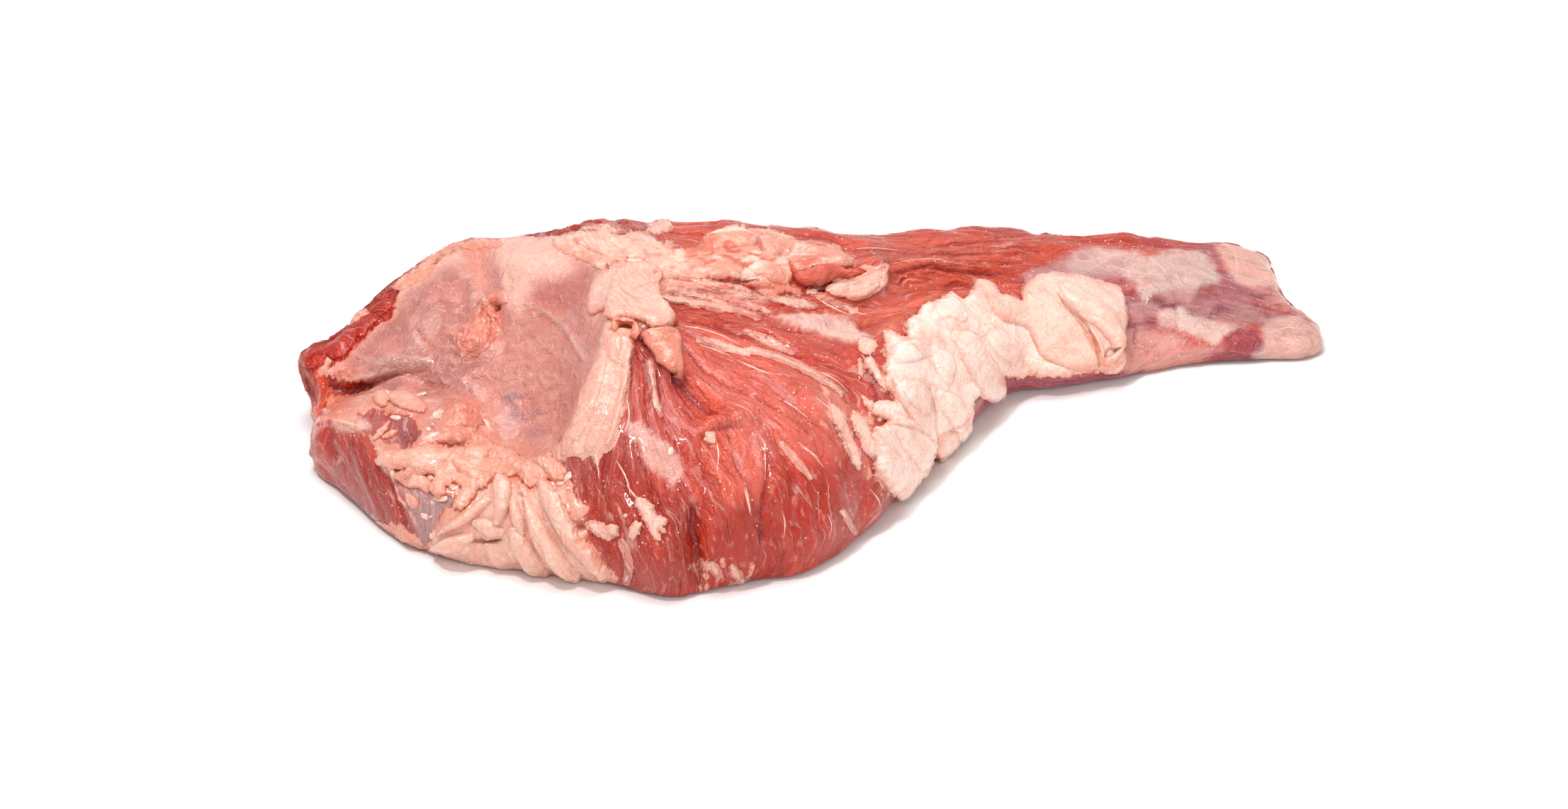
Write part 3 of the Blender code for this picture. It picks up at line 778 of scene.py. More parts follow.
VEILS: tuple[Veil, ...] = (
    Veil(0.8, path(500, 500, 560, 440, 650, 350, 760, 338, 850, 372, 860, 470, 820, 600, 700, 590, 640, 560,
        560, 560), soft=16),
    Veil(0.5, path(700, 560, 800, 540, 830, 640, 760, 680, 700, 640), soft=16),
    Veil(0.5, path(465, 600, 482, 588, 520, 590, 540, 600, 520, 610, 490, 614), soft=6),
    Veil(0.75, path(560, 686, 650, 700, 640, 716, 616, 740, 616, 780, 590, 760, 570, 706), soft=6),
    Veil(0.5, path(1024, 600, 1060, 592, 1078, 625, 1080, 680, 1070, 712, 1050, 700, 1036, 660), "#E07E6F",
        8, 5),
    # Silverskin on the tail.
    Veil(0.85, TAIL_SKIN, "#DFC0B5", 6, 8),
    Veil(0.6, path(1450, 392, 1480, 372, 1530, 352, 1580, 352, 1590, 372, 1560, 392, 1520, 402), "#C99A98",
        9, 8),
    Veil(0.9, TAIL_PATCH, "#E3C2B6", 4, 4),
    Veil(0.7, path(1635, 442, 1652, 434, 1661, 446, 1656, 462, 1640, 458), "#EDC9BC", 4, 3),
    Veil(0.85, TAIL_CORNER, "#ECB8A9", 6, 5),
    Veil(0.8, TAIL_TIP, "#DDB6AA", 6, 7),
    Veil(0.55, path(1590, 430, 1612, 424, 1640, 430, 1634, 446, 1604, 450, 1588, 444), "#D9A7A0", 6, 8),
    Veil(0.45, path(1660, 408, 1700, 412, 1730, 404, 1760, 410, 1750, 424, 1700, 430, 1668, 424), "#A86670",
        6, 9),
    Veil(0.45, path(1700, 440, 1740, 438, 1780, 440, 1790, 454, 1750, 460, 1716, 456), "#D8A49C", 6, 9),
    Veil(0.5, path(1588, 468, 1630, 470, 1668, 478, 1650, 494, 1604, 498), "#E8B8AA", 7, 10),
    Veil(0.5, path(1600, 506, 1650, 498, 1706, 494, 1700, 508, 1640, 518, 1604, 522), "#E6B2A2", 6, 9),
    Veil(0.5, path(1584, 494, 1600, 488, 1616, 504, 1600, 526, 1584, 524), "#F0A48E", 6, 5),
    # More scraps of skin on the tail.
    Veil(0.6, path(1640, 412, 1668, 407, 1690, 414, 1684, 427, 1652, 425), "#CF9A96", 5, 9),
    Veil(0.4, path(1674, 428, 1700, 423, 1714, 436, 1694, 443, 1676, 438), "#C88E8C", 5, 8),
    Veil(0.4, path(1730, 424, 1752, 420, 1766, 430, 1748, 439), "#C88E8C", 5, 8),
    Veil(0.5, TAIL_STREAK, "#CF9A92", 8, 12),
    # Thin fat on the fan.
    Veil(0.75, FAN_FAT, "#E6B4A8", 6, 8),
    Veil(0.9, UPPER_FAN_FAT, "#F3C7BA", 6, 9),
    Veil(0.45, STRIPED_FAT, "#EBA898", 8, 10),
    # Streaky fat on the upper fan.
    Veil(0.5, path(930, 396, 1000, 402, 1056, 414, 1036, 426, 980, 420, 930, 412), "#EDA292", 8, 12),
    Veil(0.4, path(1150, 560, 1180, 545, 1230, 600, 1240, 660, 1210, 670, 1180, 620), "#E2968A", 8, 10),
)

# Sunk lines in the meat; the fourth number is the painted shade along each.
CREASES: tuple[Relief, ...] = (
    Relief(path(950, 526, 961, 542, 979, 562, 1000, 582), -2.2, 5, 0.6),
    Relief(path(981, 712, 980, 740, 982, 770, 986, 800, 987, 822), -2.6, 5, 0.8),
    Relief(path(1082, 640, 1084, 680, 1077, 716, 1071, 740), -1.2, 4, 0.35),
    Relief(path(1003, 608, 1030, 602, 1050, 600), -0.9, 5, 0.25),
    Relief(path(1027, 606, 1042, 657, 1060, 698, 1067, 749), -1.1, 4, 0.3),
    Relief(path(1074, 742, 1074, 766), -1.5, 4, 0.9),
    Relief(path(1046, 816, 1075, 824, 1106, 812), -1.5, 6, 0.7),
    Relief(path(466, 545, 485, 550, 505, 545, 522, 541, 545, 533, 562, 528), -3.0, 5, 1.0),
    Relief(path(560, 528, 585, 527, 605, 525), -1.6, 3, 0.6),
    Relief(path(596, 543, 615, 543, 634, 547), -1.4, 3, 0.7),
    Relief(path(585, 463, 605, 488, 615, 493, 626, 498), -1.0, 3, 0.4),
    Relief(path(612, 631, 640, 632, 662, 630), -1.6, 3, 0.5),
    Relief(path(696, 432, 706, 436), -2.6, 5, 1.0),
    Relief(path(671, 416, 682, 438, 694, 457), -1.4, 4, 0.3),
    Relief(path(862, 462, 880, 454, 900, 462), -2.5, 6, 0.5),
    Relief(path(1035, 396, 1068, 396), -1.2, 3, 0.7),
    Relief(path(1064, 333, 1074, 356), -1.2, 3, 0.5),
    Relief(path(1148, 402, 1174, 400), -3.0, 6, 0.9),
    Relief(path(1268, 385, 1309, 376, 1340, 382, 1371, 385, 1414, 386), -1.6, 4, 0.45),
    Relief(path(653, 762, 712, 762), -2.0, 4, 0.9),
    Relief(path(806, 745, 828, 742), -2.0, 6, 0.8),
    Relief(path(1603, 455, 1603, 493), -0.7, 3, 0.4),
    Relief(path(956, 456, 1010, 459, 1053, 473, 1090, 481, 1122, 492), -0.9, 3, 0.35),
    Relief(path(1213, 500, 1236, 545, 1244, 590), -0.8, 4, 0.2),
    # The rim drawn in, on the hidden side too.
    Relief(path(428, 536, 432, 556, 434, 578), -3.6, 12, through=True),
    Relief(path(448, 492, 470, 470, 492, 452), -2.4, 11, through=True),
    Relief(path(440, 650, 458, 676, 476, 694), -2.0, 11, through=True),
    Relief(path(610, 790, 680, 806, 760, 822, 850, 836), -3.8, 16, through=True),
    Relief(path(1800, 376, 1818, 406, 1830, 432), -2.4, 10, through=True),
    Relief(path(1480, 556, 1540, 548, 1610, 532), -2.2, 10, through=True),
    Relief(path(1330, 676, 1366, 636, 1410, 600, 1450, 572), -2.6, 12, through=True),
    Relief(path(860, 308, 940, 308, 1010, 312), -1.6, 10, through=True),
)
SWELLS: tuple[Relief, ...] = (
    Relief(path(502, 500, 530, 512, 560, 506, 604, 510), 0.7, 10),
    Relief(path(985, 614, 1001, 596, 1024, 588, 1046, 585, 1070, 586), 0.7, 9),
    Relief(path(1000, 700, 1003, 740, 1006, 790), 1.4, 10),
    Relief(path(1064, 600, 1090, 640, 1110, 690), 1.2, 9),
    Relief(path(640, 588, 658, 588), 1.2, 16),
    Relief(path(586, 640, 604, 629, 635, 626, 657, 632), 1.6, 8),
    Relief(path(956, 446, 1010, 448, 1053, 462, 1090, 470, 1149, 505), 1.0, 7),
    Relief(path(748, 430, 779, 447, 805, 471, 826, 508), 0.9, 6),
    Relief(path(1005, 640, 1018, 700, 1020, 770), 1.4, 16),
    Relief(path(1040, 640, 1062, 700, 1066, 780), 1.0, 10),
    Relief(path(720, 372, 770, 372), 1.6, 20),
)


class TissueMap:
    """Tells for any place on the meat which tissue lies there, its colours and its relief."""

    hidden_fat: float = 34.0
    pixel: float = 1 / 4.42
    lean_base: str = "#CC5C50"
    fat_base: str = "#F0BFAE"

    def blend(self, at: Array, areas: tuple[Area, ...], base: str) -> Array:
        """Lays soft-edged areas of colour over a base colour.

        Args:
            at: Pixels of the photo.
            areas: The areas, each over the ones before it.
            base: The colour under them all.

        Returns:
            A linear colour for each pixel.
        """
        tint = np.tile(np.array(colour(base)), (len(at), 1))
        for number, area in enumerate(areas):
            depth = inside_distance(at, area.outline, area.ragged, 60 + number)
            share = smooth_step(depth, -area.soft, area.soft)
            if area.patch[0]:
                blot = layered_noise(at / area.patch, 1.0, 600 + number, 3)
                share = share * smooth_step(blot, 0.0, 0.42)
            tint += share[:, None] * (np.array(colour(area.shade)) - tint)
        return tint

    def fat_depth(self, points: Array, at: Array, facing: Array) -> Array:
        """Signed distance in millimetres to the edge of the pale tissue, positive inside it.

        Args:
            points: Places in millimetres.
            at: Where the photo shows them.
            facing: How far each is turned to the camera.

        Returns:
            One distance for each place.
        """
        shown = np.full(len(at), -60.0)
        for number, area in enumerate(PALE_AREAS):
            depth = inside_distance(at, area.outline, area.ragged, 90 + number)
            shown = np.maximum(shown, np.minimum(depth, area.most / self.pixel))
        for number, window in enumerate(LEAN_WINDOWS):
            shown = np.minimum(shown, -inside_distance(at, window.outline, window.ragged, 150 + number))
        hidden = (layered_noise(points, self.hidden_fat, 7) - 0.18) * 26
        hidden += layered_noise(points, self.hidden_fat / 6, 8) * 5
        seen = smooth_step(facing, -0.22, 0.0)
        return seen * shown * self.pixel + (1 - seen) * hidden

    def read(self, points: Array, normals: Array) -> dict[str, Array]:
        """All the tissue values that the finishes and the relief use.

        Args:
            points: Places in millimetres.
            normals: Unit normals there.

        Returns:
            The signed fat distance, both tints, the sunk relief, its painted shade and the swells.
        """
        at = VIEW.project(points)
        facing = VIEW.facing(points, normals)
        seen = smooth_step(facing, -0.1, 0.12)
        sunk, raised, dark = (np.zeros(len(points)) for _ in range(3))
        # Sunk lines, with painted shade along them where the camera sees them.
        for crease in CREASES:
            height, shade = crease.read(at)
            sunk += height * (1.0 if crease.through else seen)
            dark = np.maximum(dark, shade * seen)
        for swell in SWELLS:
            raised += swell.read(at)[0] * seen
        lean, fat = self.blend(at, LEAN_AREAS, self.lean_base), self.blend(at, FAT_AREAS, self.fat_base)
        calm = np.zeros(len(points))
        for number, veil in enumerate(VEILS):
            depth = inside_distance(at, veil.outline, veil.ragged, 200 + number)
            share = smooth_step(depth, -veil.soft, veil.soft) * veil.strength * seen
            calm = np.maximum(calm, share)
            if veil.shade:
                lean += share[:, None] * (np.array(colour(veil.shade)) - lean)
        return {
            "pixels": at,
            "seen": seen,
            "fat_depth": self.fat_depth(points, at, facing),
            "lean_tint": lean,
            "fat_tint": fat,
            "calm": calm,
            "sunk": sunk,
            "raised": raised,
            "crease": dark,
            "hollow": np.zeros(len(points)),
        }


def add_node(
    tree: bpy.types.NodeTree, kind: str, settings: dict | None = None, links: dict | None = None
) -> bpy.types.Node:
    """Adds a node, sets it up and joins its inputs.

    Args:
        tree: The node tree.
        kind: The node's type name.
        settings: Properties by name, and input values by input name or number.
        links: Output sockets by input name or number.

    Returns:
        The node.
    """
    node = tree.nodes.new(kind)
    for key, value in (settings or {}).items():
        if isinstance(key, str) and hasattr(node, key):
            setattr(node, key, value)
        else:
            node.inputs[key].default_value = value
    for key, socket in (links or {}).items():
        tree.links.new(socket, node.inputs[key])
    return node


@dataclass(frozen=True)
class MeatFinish:
    """Wet raw beef: lean where the fat distance is negative and fat where it is positive."""

    # Muscle gives the eye long streaks along its fibres and a deep pink glow; fat gives it waxy, pale,
    # softly folded lumps with ragged edges; the juice over both gives sharp small glints.

    name: str = "raw_beef"
    thread: str = "#F6D3C8"
    fresh: str = "#DA5F50"
    rose: str = "#C9726E"
    mauve: str = "#B0767A"
    # gap is the dark red of the painted shade in hollows and of the dark seams; deep is the painted shade
    # in creases.
    gap: str = "#A2302A"
    deep: str = "#7A1712"
    fleck: str = "#F2A596"
    warm_shade: str = "#E8937C"
    blush: str = "#EBA08E"
    # Pale tallow of the lobules, and the painted highlight on crests of the fat.
    tallow_and_highlight: str = "#FCE3D2"
    roughness: float = 0.26
    coat: float = 0.6
    coat_roughness: float = 0.07
    glow: float = 0.12
    glow_depth: float = 0.0022
    thread_amount: float = 0.35
    relief: float = 1.5
    lean_rise: float = 1.6
    # What follows is in cells of noise for each millimetre, along the fibres, across them and down.
    # A muscle bundle, 90 mm long and 7 mm wide.
    bundle: Cells = (0.011, 0.15, 0)
    # A strand, 20 mm long and 2.4 mm wide.
    strand: Cells = (0.05, 0.42, 0)
    # A fibre, 8 mm long and as coarse as it needs to show, 0.8 mm.
    fibre: Cells = (0.13, 1.3, 0)
    # A knot in a strand, 9 mm long and 3 mm wide.
    knot: Cells = (0.11, 0.36, 0)
    # A pale fleck, 4.5 mm long and 0.9 mm wide.
    fleck_size: Cells = (0.22, 1.1, 0)
    # A fresher band, 60 mm long and 5 mm wide.
    band: Cells = (0.016, 0.2, 0)
    # A feathered edge of the fat, 1.7 mm wide.
    feather: Cells = (0.05, 0.6, 0)
    # A dark seam, 14 mm long.
    dark_line: Cells = (0.07, 0.32, 0)
    # A thread of membrane, 33 mm long.
    pale_line: Cells = (0.03, 0.4, 0)
    # A streak in silverskin, 33 mm long.
    streak: Cells = (0.03, 0.14, 0)
    # A duller patch, 33 mm.
    cold: Cells = (0.03, 0.03, 0.03)
    # A patch of threads, 14 mm.
    patch: Cells = (0.07, 0.07, 0.07)
    # A blotch of blood tint, 10 mm.
    blotch: Cells = (0.1, 0.1, 0.1)
    # A crumple in silverskin, 8 mm.
    crumple: Cells = (0.13, 0.13, 0.13)
    # A fine vein in the fat, 7 mm.
    vein: Cells = (0.14, 0.14, 0.14)
    # A nibble out of the fat's edge, 6 mm.
    nibble: Cells = (0.16, 0.16, 0.16)
    # A mottle in silverskin, 6 mm.
    mottle: Cells = (0.16, 0.16, 0.16)
    # A milky line, 11 mm long.
    milky: Cells = (0.2, 0.09, 0.2)
    # A pale lobule, 3.6 mm.
    lobule: Cells = (0.28, 0.28, 0.28)
    # A wrinkle, 3.3 mm.
    wrinkle: Cells = (0.3, 0.3, 0.3)
    # A wetter patch, 3 mm.
    wet_patch: Cells = (0.35, 0.35, 0.35)
    # A pucker, 1.8 mm.
    pucker: Cells = (0.55, 0.55, 0.55)
    # A grain of the cut surface, 0.9 mm.
    grit: Cells = (1.1, 1.1, 1.1)

    def node(
        self,
        tree: bpy.types.NodeTree,
        kind: str,
        *terms: object,
        inputs: dict | None = None,
        out: int | str = 0,
        **settings: object,
    ) -> bpy.types.NodeSocket:
        """Adds a shader node of any kind and picks one of its outputs.

        Args:
            tree: The node tree.
            kind: The end of the node's type name, after ShaderNode.
            terms: The first inputs in order, each a socket or a value.
            inputs: More inputs by name or number, each a socket or a value.
            out: Name or number of the output.
            settings: The node's own properties.

        Returns:
            The output.
        """
        every = {**dict(enumerate(terms)), **(inputs or {})}
        links = {key: item for key, item in every.items() if isinstance(item, bpy.types.NodeSocket)}
        values = {key: item for key, item in every.items() if key not in links}
        return add_node(tree, "ShaderNode" + kind, {**settings, **values}, links).outputs[out]

    def noise(
        self,
        tree: bpy.types.NodeTree,
        vector: bpy.types.NodeSocket,
        stretch: Cells,
        detail: float = 3.0,
        rough: float = 0.55,
        shift: float = 0.0,
    ) -> bpy.types.NodeSocket:
        """Noise on a vector that is stretched differently along and across the fibres.

        Args:
            tree: The node tree.
            vector: Places in millimetres.
            stretch: Cells of noise for each millimetre, each way.
            detail: How many finer layers are added.
            rough: How strong the finer layers are.
            shift: Cells that the pattern is moved by, so that no two are alike.

        Returns:
            The noise, mostly between 0.3 and 0.7.
        """
        scaled = self.node(tree, "VectorMath", vector, stretch, (0.0, 0.0, shift), operation="MULTIPLY_ADD")
        settings = {"Vector": scaled, "Scale": 1.0, "Detail": detail, "Roughness": rough}
        return self.node(tree, "TexNoise", inputs=settings)

    def thin_lines(
        self,
        tree: bpy.types.NodeTree,
        vector: bpy.types.NodeSocket,
        stretch: Cells,
        width: float,
        shift: float,
    ) -> bpy.types.NodeSocket:
        """Long thin lines where a noise crosses its middle.

        Args:
            tree: The node tree.
            vector: Places in millimetres.
            stretch: Cells of noise for each millimetre, each way.
            width: How far from its middle the noise still counts as a line.
            shift: Cells that the pattern is moved by.

        Returns:
            One on a line and zero away from it.
        """
        level = self.noise(tree, vector, stretch, 1, 0.4, shift)
        level = self.node(
            tree, "Math", self.node(tree, "Math", level, 0.5, operation="SUBTRACT"), operation="ABSOLUTE"
        )
        return self.node(tree, "MapRange", level, 0.0, width, 1.0, 0.0, **SMOOTH)

    def build(self) -> bpy.types.Material:
        """Makes the material.

        Returns:
            The material.
        """
        material = bpy.data.materials.new(self.name)
        material.use_nodes = True
        tree = material.node_tree
        tree.nodes.clear()
        node = partial(self.node, tree)
        noise = partial(self.noise, tree)
        thin_lines = partial(self.thin_lines, tree)
        place = node("TexCoord", out="Object")
        place = node("VectorMath", place, inputs={"Scale": 1 / MM}, operation="SCALE")
        straight = node("Attribute", attribute_name="grain", out="Vector")
        sway = node("Math", noise(place, self.patch, 3), 0.5, operation="SUBTRACT")
        sway = node("VectorMath", (3.0, 4.0, 0.0), inputs={"Scale": sway}, operation="SCALE")
        grain = node("VectorMath", straight, sway, operation="ADD")
        depth = node("Attribute", attribute_name="fat_depth", out="Fac")
        crease = node("Attribute", attribute_name="crease", out="Fac")
        under = lean = node("Attribute", attribute_name="lean_tint", out="Color")
        fat = node("Attribute", attribute_name="fat_tint", out="Color")
        # Ragged edge of the fat: nibbles of all sizes, and feathering along the fibres.
        nibble = node("Math", noise(place, self.nibble, 7, 0.62), 0.5, operation="SUBTRACT")
        feather = node("Math", noise(grain, self.feather, 3), 0.5, operation="SUBTRACT")
        ragged = node("Math", nibble, 6.0, depth, operation="MULTIPLY_ADD")
        ragged = node("Math", feather, 4.0, ragged, operation="MULTIPLY_ADD")
        fat_mask = node("MapRange", ragged, -0.4, 0.3, **SMOOTH)
        # Lean: muscle bundles, strands and fibres, each a layer of tone.
        bundle = noise(grain, self.bundle, 2)
        strand = noise(grain, self.strand, 3, shift=3)
        fibre = noise(grain, self.fibre, 3, 0.6, shift=7)
        tone = node("MapRange", bundle, 0.32, 0.68, 0.88, 1.08, **SMOOTH)
        tone = node(
            "Math", tone, node("MapRange", strand, 0.3, 0.7, 0.88, 1.1, **SMOOTH), operation="MULTIPLY"
        )
        tone = node(
            "Math", tone, node("MapRange", fibre, 0.3, 0.7, 0.9, 1.08, **SMOOTH), operation="MULTIPLY"
        )
        warm = node("MapRange", noise(grain, self.band, 3, shift=11), 0.5, 0.72, 0.0, 0.5, **SMOOTH)
        cool = node("MapRange", noise(place, self.cold, 2), 0.52, 0.75, 0.0, 0.35, **SMOOTH)
        for share, tint in ((warm, self.fresh), (cool, self.rose)):
            lean = node("Mix", inputs={0: share, 6: lean, 7: colour(tint)}, **COLOURS)
        tone = node("CombineColor", tone, tone, tone)
        lean = node("Mix", inputs={0: 1.0, 6: lean, 7: tone}, **COLOURS, blend_type="MULTIPLY")
        dark_line = thin_lines(grain, self.dark_line, 0.02, 21)
        # Painted shade in hollows, from the valleys between bundles and lumps and how far each place lies
        # below its surroundings.
        hollow = node("Attribute", attribute_name="hollow", out="Fac")
        gap = node("Math", hollow, 0.8, operation="MULTIPLY")
        fleck = node("MapRange", noise(grain, self.fleck_size, 2, 0.5, 51), 0.57, 0.71, 0.0, 0.4, **SMOOTH)
        seam = node("Math", dark_line, 0.35, operation="MULTIPLY")
        pale_line = thin_lines(grain, self.pale_line, 0.02, 33)
        patchy = node("MapRange", noise(place, self.patch, 2), 0.45, 0.6, **SMOOTH)
        pale_line = node("Math", pale_line, patchy, operation="MULTIPLY")
        pale_line = node("Math", pale_line, self.thread_amount, operation="MULTIPLY")
        # Over the lean: painted shade in hollows, pale flecks, dark seams and pale threads of membrane.
        layers = ((gap, self.gap), (fleck, self.fleck), (seam, self.gap), (pale_line, self.thread))
        for share, tint in layers:
            lean = node("Mix", inputs={0: share, 6: lean, 7: colour(tint)}, **COLOURS)
        # Silverskin over the lean: calmer, mauve and finely mottled.
        calm = node("Attribute", attribute_name="calm", out="Fac")
        mottle = node("MapRange", noise(place, self.mottle, 4, 0.6, 71), 0.48, 0.66, 0.0, 0.4, **SMOOTH)
        streak = node("Math", thin_lines(grain, self.streak, 0.02, 81), 0.3, operation="MULTIPLY")
        for share, tint in ((mottle, self.mauve), (streak, self.thread)):
            under = node("Mix", inputs={0: share, 6: under, 7: colour(tint)}, **COLOURS)
        lean = node("Mix", inputs={0: calm, 6: lean, 7: under}, **COLOURS)
        lean = node("HueSaturation", inputs={"Saturation": 1.08, "Value": 0.915, "Color": lean})
        # Fat: blotches of blood tint, paler and yellower lobules, a painted highlight on crests, painted
        # shade in hollows, reddened edges, fine veins.
        edge = node("Attribute", attribute_name="edge_depth", out="Fac")
        bare = node("MapRange", calm, 0.0, 1.0, 1.0, 0.35, **SMOOTH)
        blotch = node("MapRange", noise(place, self.blotch, 5, 0.6), 0.45, 0.7, 0.0, 0.5, **SMOOTH)
        blotch = node("Math", blotch, bare, operation="MULTIPLY")
        pale = node("MapRange", noise(place, self.lobule, 4), 0.5, 0.68, 0.0, 0.4, **SMOOTH)
        pale = node("Math", pale, node("Math", 1.0, calm, operation="SUBTRACT"), operation="MULTIPLY")
        # Painted highlight on the crests of the fat.
        crest_highlight = node("Attribute", attribute_name="crest_highlight", out="Fac")
        crest_highlight = node("Math", crest_highlight, 0.6, operation="MULTIPLY")
        near_edge = node("Math", nibble, 3.0, edge, operation="MULTIPLY_ADD")
        near_edge = node("MapRange", near_edge, 0.0, 2.6, 0.6, 0.0, **SMOOTH)
        vein = thin_lines(place, self.vein, 0.016, 61)
        red_vein = node("Math", vein, 0.26, operation="MULTIPLY")
        red_vein = node("Math", red_vein, bare, operation="MULTIPLY")
        milky = thin_lines(place, self.milky, 0.014, 64)
        milky = node("Math", milky, node("Math", calm, 0.25, operation="MULTIPLY"), operation="MULTIPLY")
        layers = (
            (blotch, self.blush),
            (pale, self.tallow_and_highlight),
            (crest_highlight, self.tallow_and_highlight),
            (gap, self.warm_shade),
            (near_edge, self.warm_shade),
            (red_vein, self.warm_shade),
            (milky, self.thread),
        )
        for share, tint in layers:
            fat = node("Mix", inputs={0: share, 6: fat, 7: colour(tint)}, **COLOURS)
        fat = node("HueSaturation", inputs={"Saturation": 1.08, "Value": 0.91, "Color": fat})
        surface = node("Mix", inputs={0: fat_mask, 6: lean, 7: fat}, **COLOURS)
        # Painted shade darkening the creases.
        shade = node("Math", crease, 0.9, operation="MULTIPLY")
        surface = node("Mix", inputs={0: shade, 6: surface, 7: colour(self.deep)}, **COLOURS)
        # Relief: strands and fibres on the lean, soft folds on the fat, a small step between them.
        knot = noise(grain, self.knot, 2, shift=41)
        lean_high = node(
            "Math", strand, 1.3, node("Math", fibre, 0.3, operation="MULTIPLY"), operation="MULTIPLY_ADD"
        )
        grit = noise(place, self.grit, 3, 0.5)
        for layer, rise in ((bundle, 1.0), (knot, 1.1), (dark_line, -0.1), (pale_line, 0.15), (grit, 0.16)):
            lean_high = node("Math", layer, rise, lean_high, operation="MULTIPLY_ADD")
        lean_high = node("Math", lean_high, self.lean_rise, operation="SUBTRACT")
        wrinkle = noise(place, self.wrinkle, 3, 0.45)
        crinkle = node("Math", node("Math", wrinkle, 0.5, operation="SUBTRACT"), operation="ABSOLUTE")
        crinkle = node("MapRange", crinkle, 0.0, 0.05, **SMOOTH)
        fat_high = node(
            "Math",
            crinkle,
            0.05,
            node("Math", wrinkle, 0.6, operation="MULTIPLY"),
            operation="MULTIPLY_ADD",
        )
        fat_high = node("Math", vein, -0.04, fat_high, operation="MULTIPLY_ADD")
        high = node("Mix", inputs={0: fat_mask, 2: lean_high, 3: fat_high}, data_type="FLOAT")
        flat = node("MapRange", calm, 0.0, 1.0, 1.0, 0.45, **SMOOTH)
        step = node(
            "MapRange", node("Math", feather, 4.0, depth, operation="MULTIPLY_ADD"), -0.8, 0.8, **SMOOTH
        )
        high = node(
            "Math", step, 0.2, node("Math", high, flat, operation="MULTIPLY"), operation="MULTIPLY_ADD"
        )
        pucker = noise(place, self.pucker, 2, 0.5, 91)
        pucker = node(
            "MapRange",
            node("Math", node("Math", pucker, 0.5, operation="SUBTRACT"), operation="ABSOLUTE"),
            0.0,
            0.09,
            **SMOOTH,
        )
        high = node("Math", pucker, 0.07, high, operation="MULTIPLY_ADD")
        crumple = noise(place, self.crumple, 3, 0.45, 95)
        crumple = node("Math", node("Math", crumple, 0.5, operation="SUBTRACT"), operation="ABSOLUTE")
        crumple = node(
            "Math", node("MapRange", crumple, 0.0, 0.1, 1.0, 0.0, **SMOOTH), calm, operation="MULTIPLY"
        )
        high = node("Math", crumple, 0.26, high, operation="MULTIPLY_ADD")
        bump = node("Bump", inputs={"Strength": 1.0, "Distance": self.relief * MM, "Height": high})
        wet = node("MapRange", noise(place, self.wet_patch, 3), 0.35, 0.65, -0.1, 0.12, **SMOOTH)
        rough = node("Math", wet, self.roughness, operation="ADD")
        shader = add_node(
            tree,
            "ShaderNodeBsdfPrincipled",
            {
                "IOR": 1.4,
                "Coat Weight": self.coat,
                "Coat Roughness": self.coat_roughness,
                "Coat IOR": 1.33,
                "Subsurface Weight": self.glow,
                "Subsurface Radius": (1.0, 0.32, 0.22),
                "Subsurface Scale": self.glow_depth,
            },
            {"Base Color": surface, "Roughness": rough, "Normal": bump},
        )
        add_node(tree, "ShaderNodeOutputMaterial", None, {"Surface": shader.outputs[0]})
        return material


def settle(points: Array) -> Array:
    """Keeps places on the table and eases down what would stand above the cut's own height.

    Args:
        points: Places in millimetres.

    Returns:
        The places, moved up or down only.
    """
    top = CAD_BOX[1][2] / MM
    ease, room = top - 5.0, 6.0
    high = points[:, 2]
    eased = ease + room * (1 - np.exp(-np.maximum(high - ease, 0) / room))
    high = np.where(high > ease, eased, high)
    return np.column_stack([points[:, :2], np.maximum(high, 0.02)])


def keep_sharp(mesh: bpy.types.Mesh, pairs: Array) -> None:
    """Marks edges sharp so that the rim of a sheet doesn't shade its top.

    Args:
        mesh: The sheet's mesh.
        pairs: The ends of each sharp edge, as vertex numbers.
    """
    count = len(mesh.vertices)
    ends = np.empty(len(mesh.edges) * 2, np.int32)
    mesh.edges.foreach_get("vertices", ends)
    keys = np.sort(ends.reshape(-1, 2), axis=1).astype(np.int64) @ np.array([count, 1])
    wanted = np.sort(pairs, axis=1).astype(np.int64) @ np.array([count, 1])
    store = mesh.attributes.new("sharp_edge", "BOOLEAN", "EDGE")
    store.data.foreach_set("value", np.isin(keys, wanted))


def make_piece(
    name: str, skin: Skin, tissue: dict[str, Array], material: bpy.types.Material, sunk: Array
) -> bpy.types.Object:
    """Turns arrays into a smooth mesh object with the tissue stored on its vertices.

    Args:
        name: The piece's name.
        skin: Its shape.
        tissue: What the tissue map read for its vertices.
        material: Its finish.
        sunk: How far each vertex lies below its surroundings.

    Returns:
        The object.
    """
    skin.points = settle(skin.points)
    mesh = bpy.data.meshes.new(name)
    mesh.from_pydata((skin.points * MM).tolist(), [], skin.faces.tolist())
    mesh.polygons.foreach_set("use_smooth", np.ones(len(mesh.polygons), bool))
    count = len(skin.points)
    tissue.setdefault("edge_depth", tissue["fat_depth"])
    # Painted shade in hollows and a painted highlight on crests, from how far each vertex lies below its
    # surroundings.
    tissue["hollow"] = np.clip(tissue["hollow"] * 0.5 + sunk * 1.9, 0, 1)
    tissue["crest_highlight"] = np.clip(-sunk * 1.5, 0, 1)
    for key in ("fat_depth", "edge_depth", "crease", "hollow", "crest_highlight", "calm"):
        store = mesh.attributes.new(key, "FLOAT", "POINT")
        store.data.foreach_set("value", tissue[key].astype(np.float32))
    for key in ("lean_tint", "fat_tint"):
        store = mesh.attributes.new(key, "FLOAT_COLOR", "POINT")
        store.data.foreach_set("color", tissue[key].astype(np.float32).ravel())
    store = mesh.attributes.new("grain", "FLOAT_VECTOR", "POINT")
    flat = np.column_stack([skin.grain, np.zeros(count)]).astype(np.float32)
    store.data.foreach_set("vector", flat.ravel())
    mesh.materials.append(material)
    mesh.validate()
    piece = bpy.data.objects.new(name, mesh)
    bpy.context.scene.collection.objects.link(piece)
    return piece


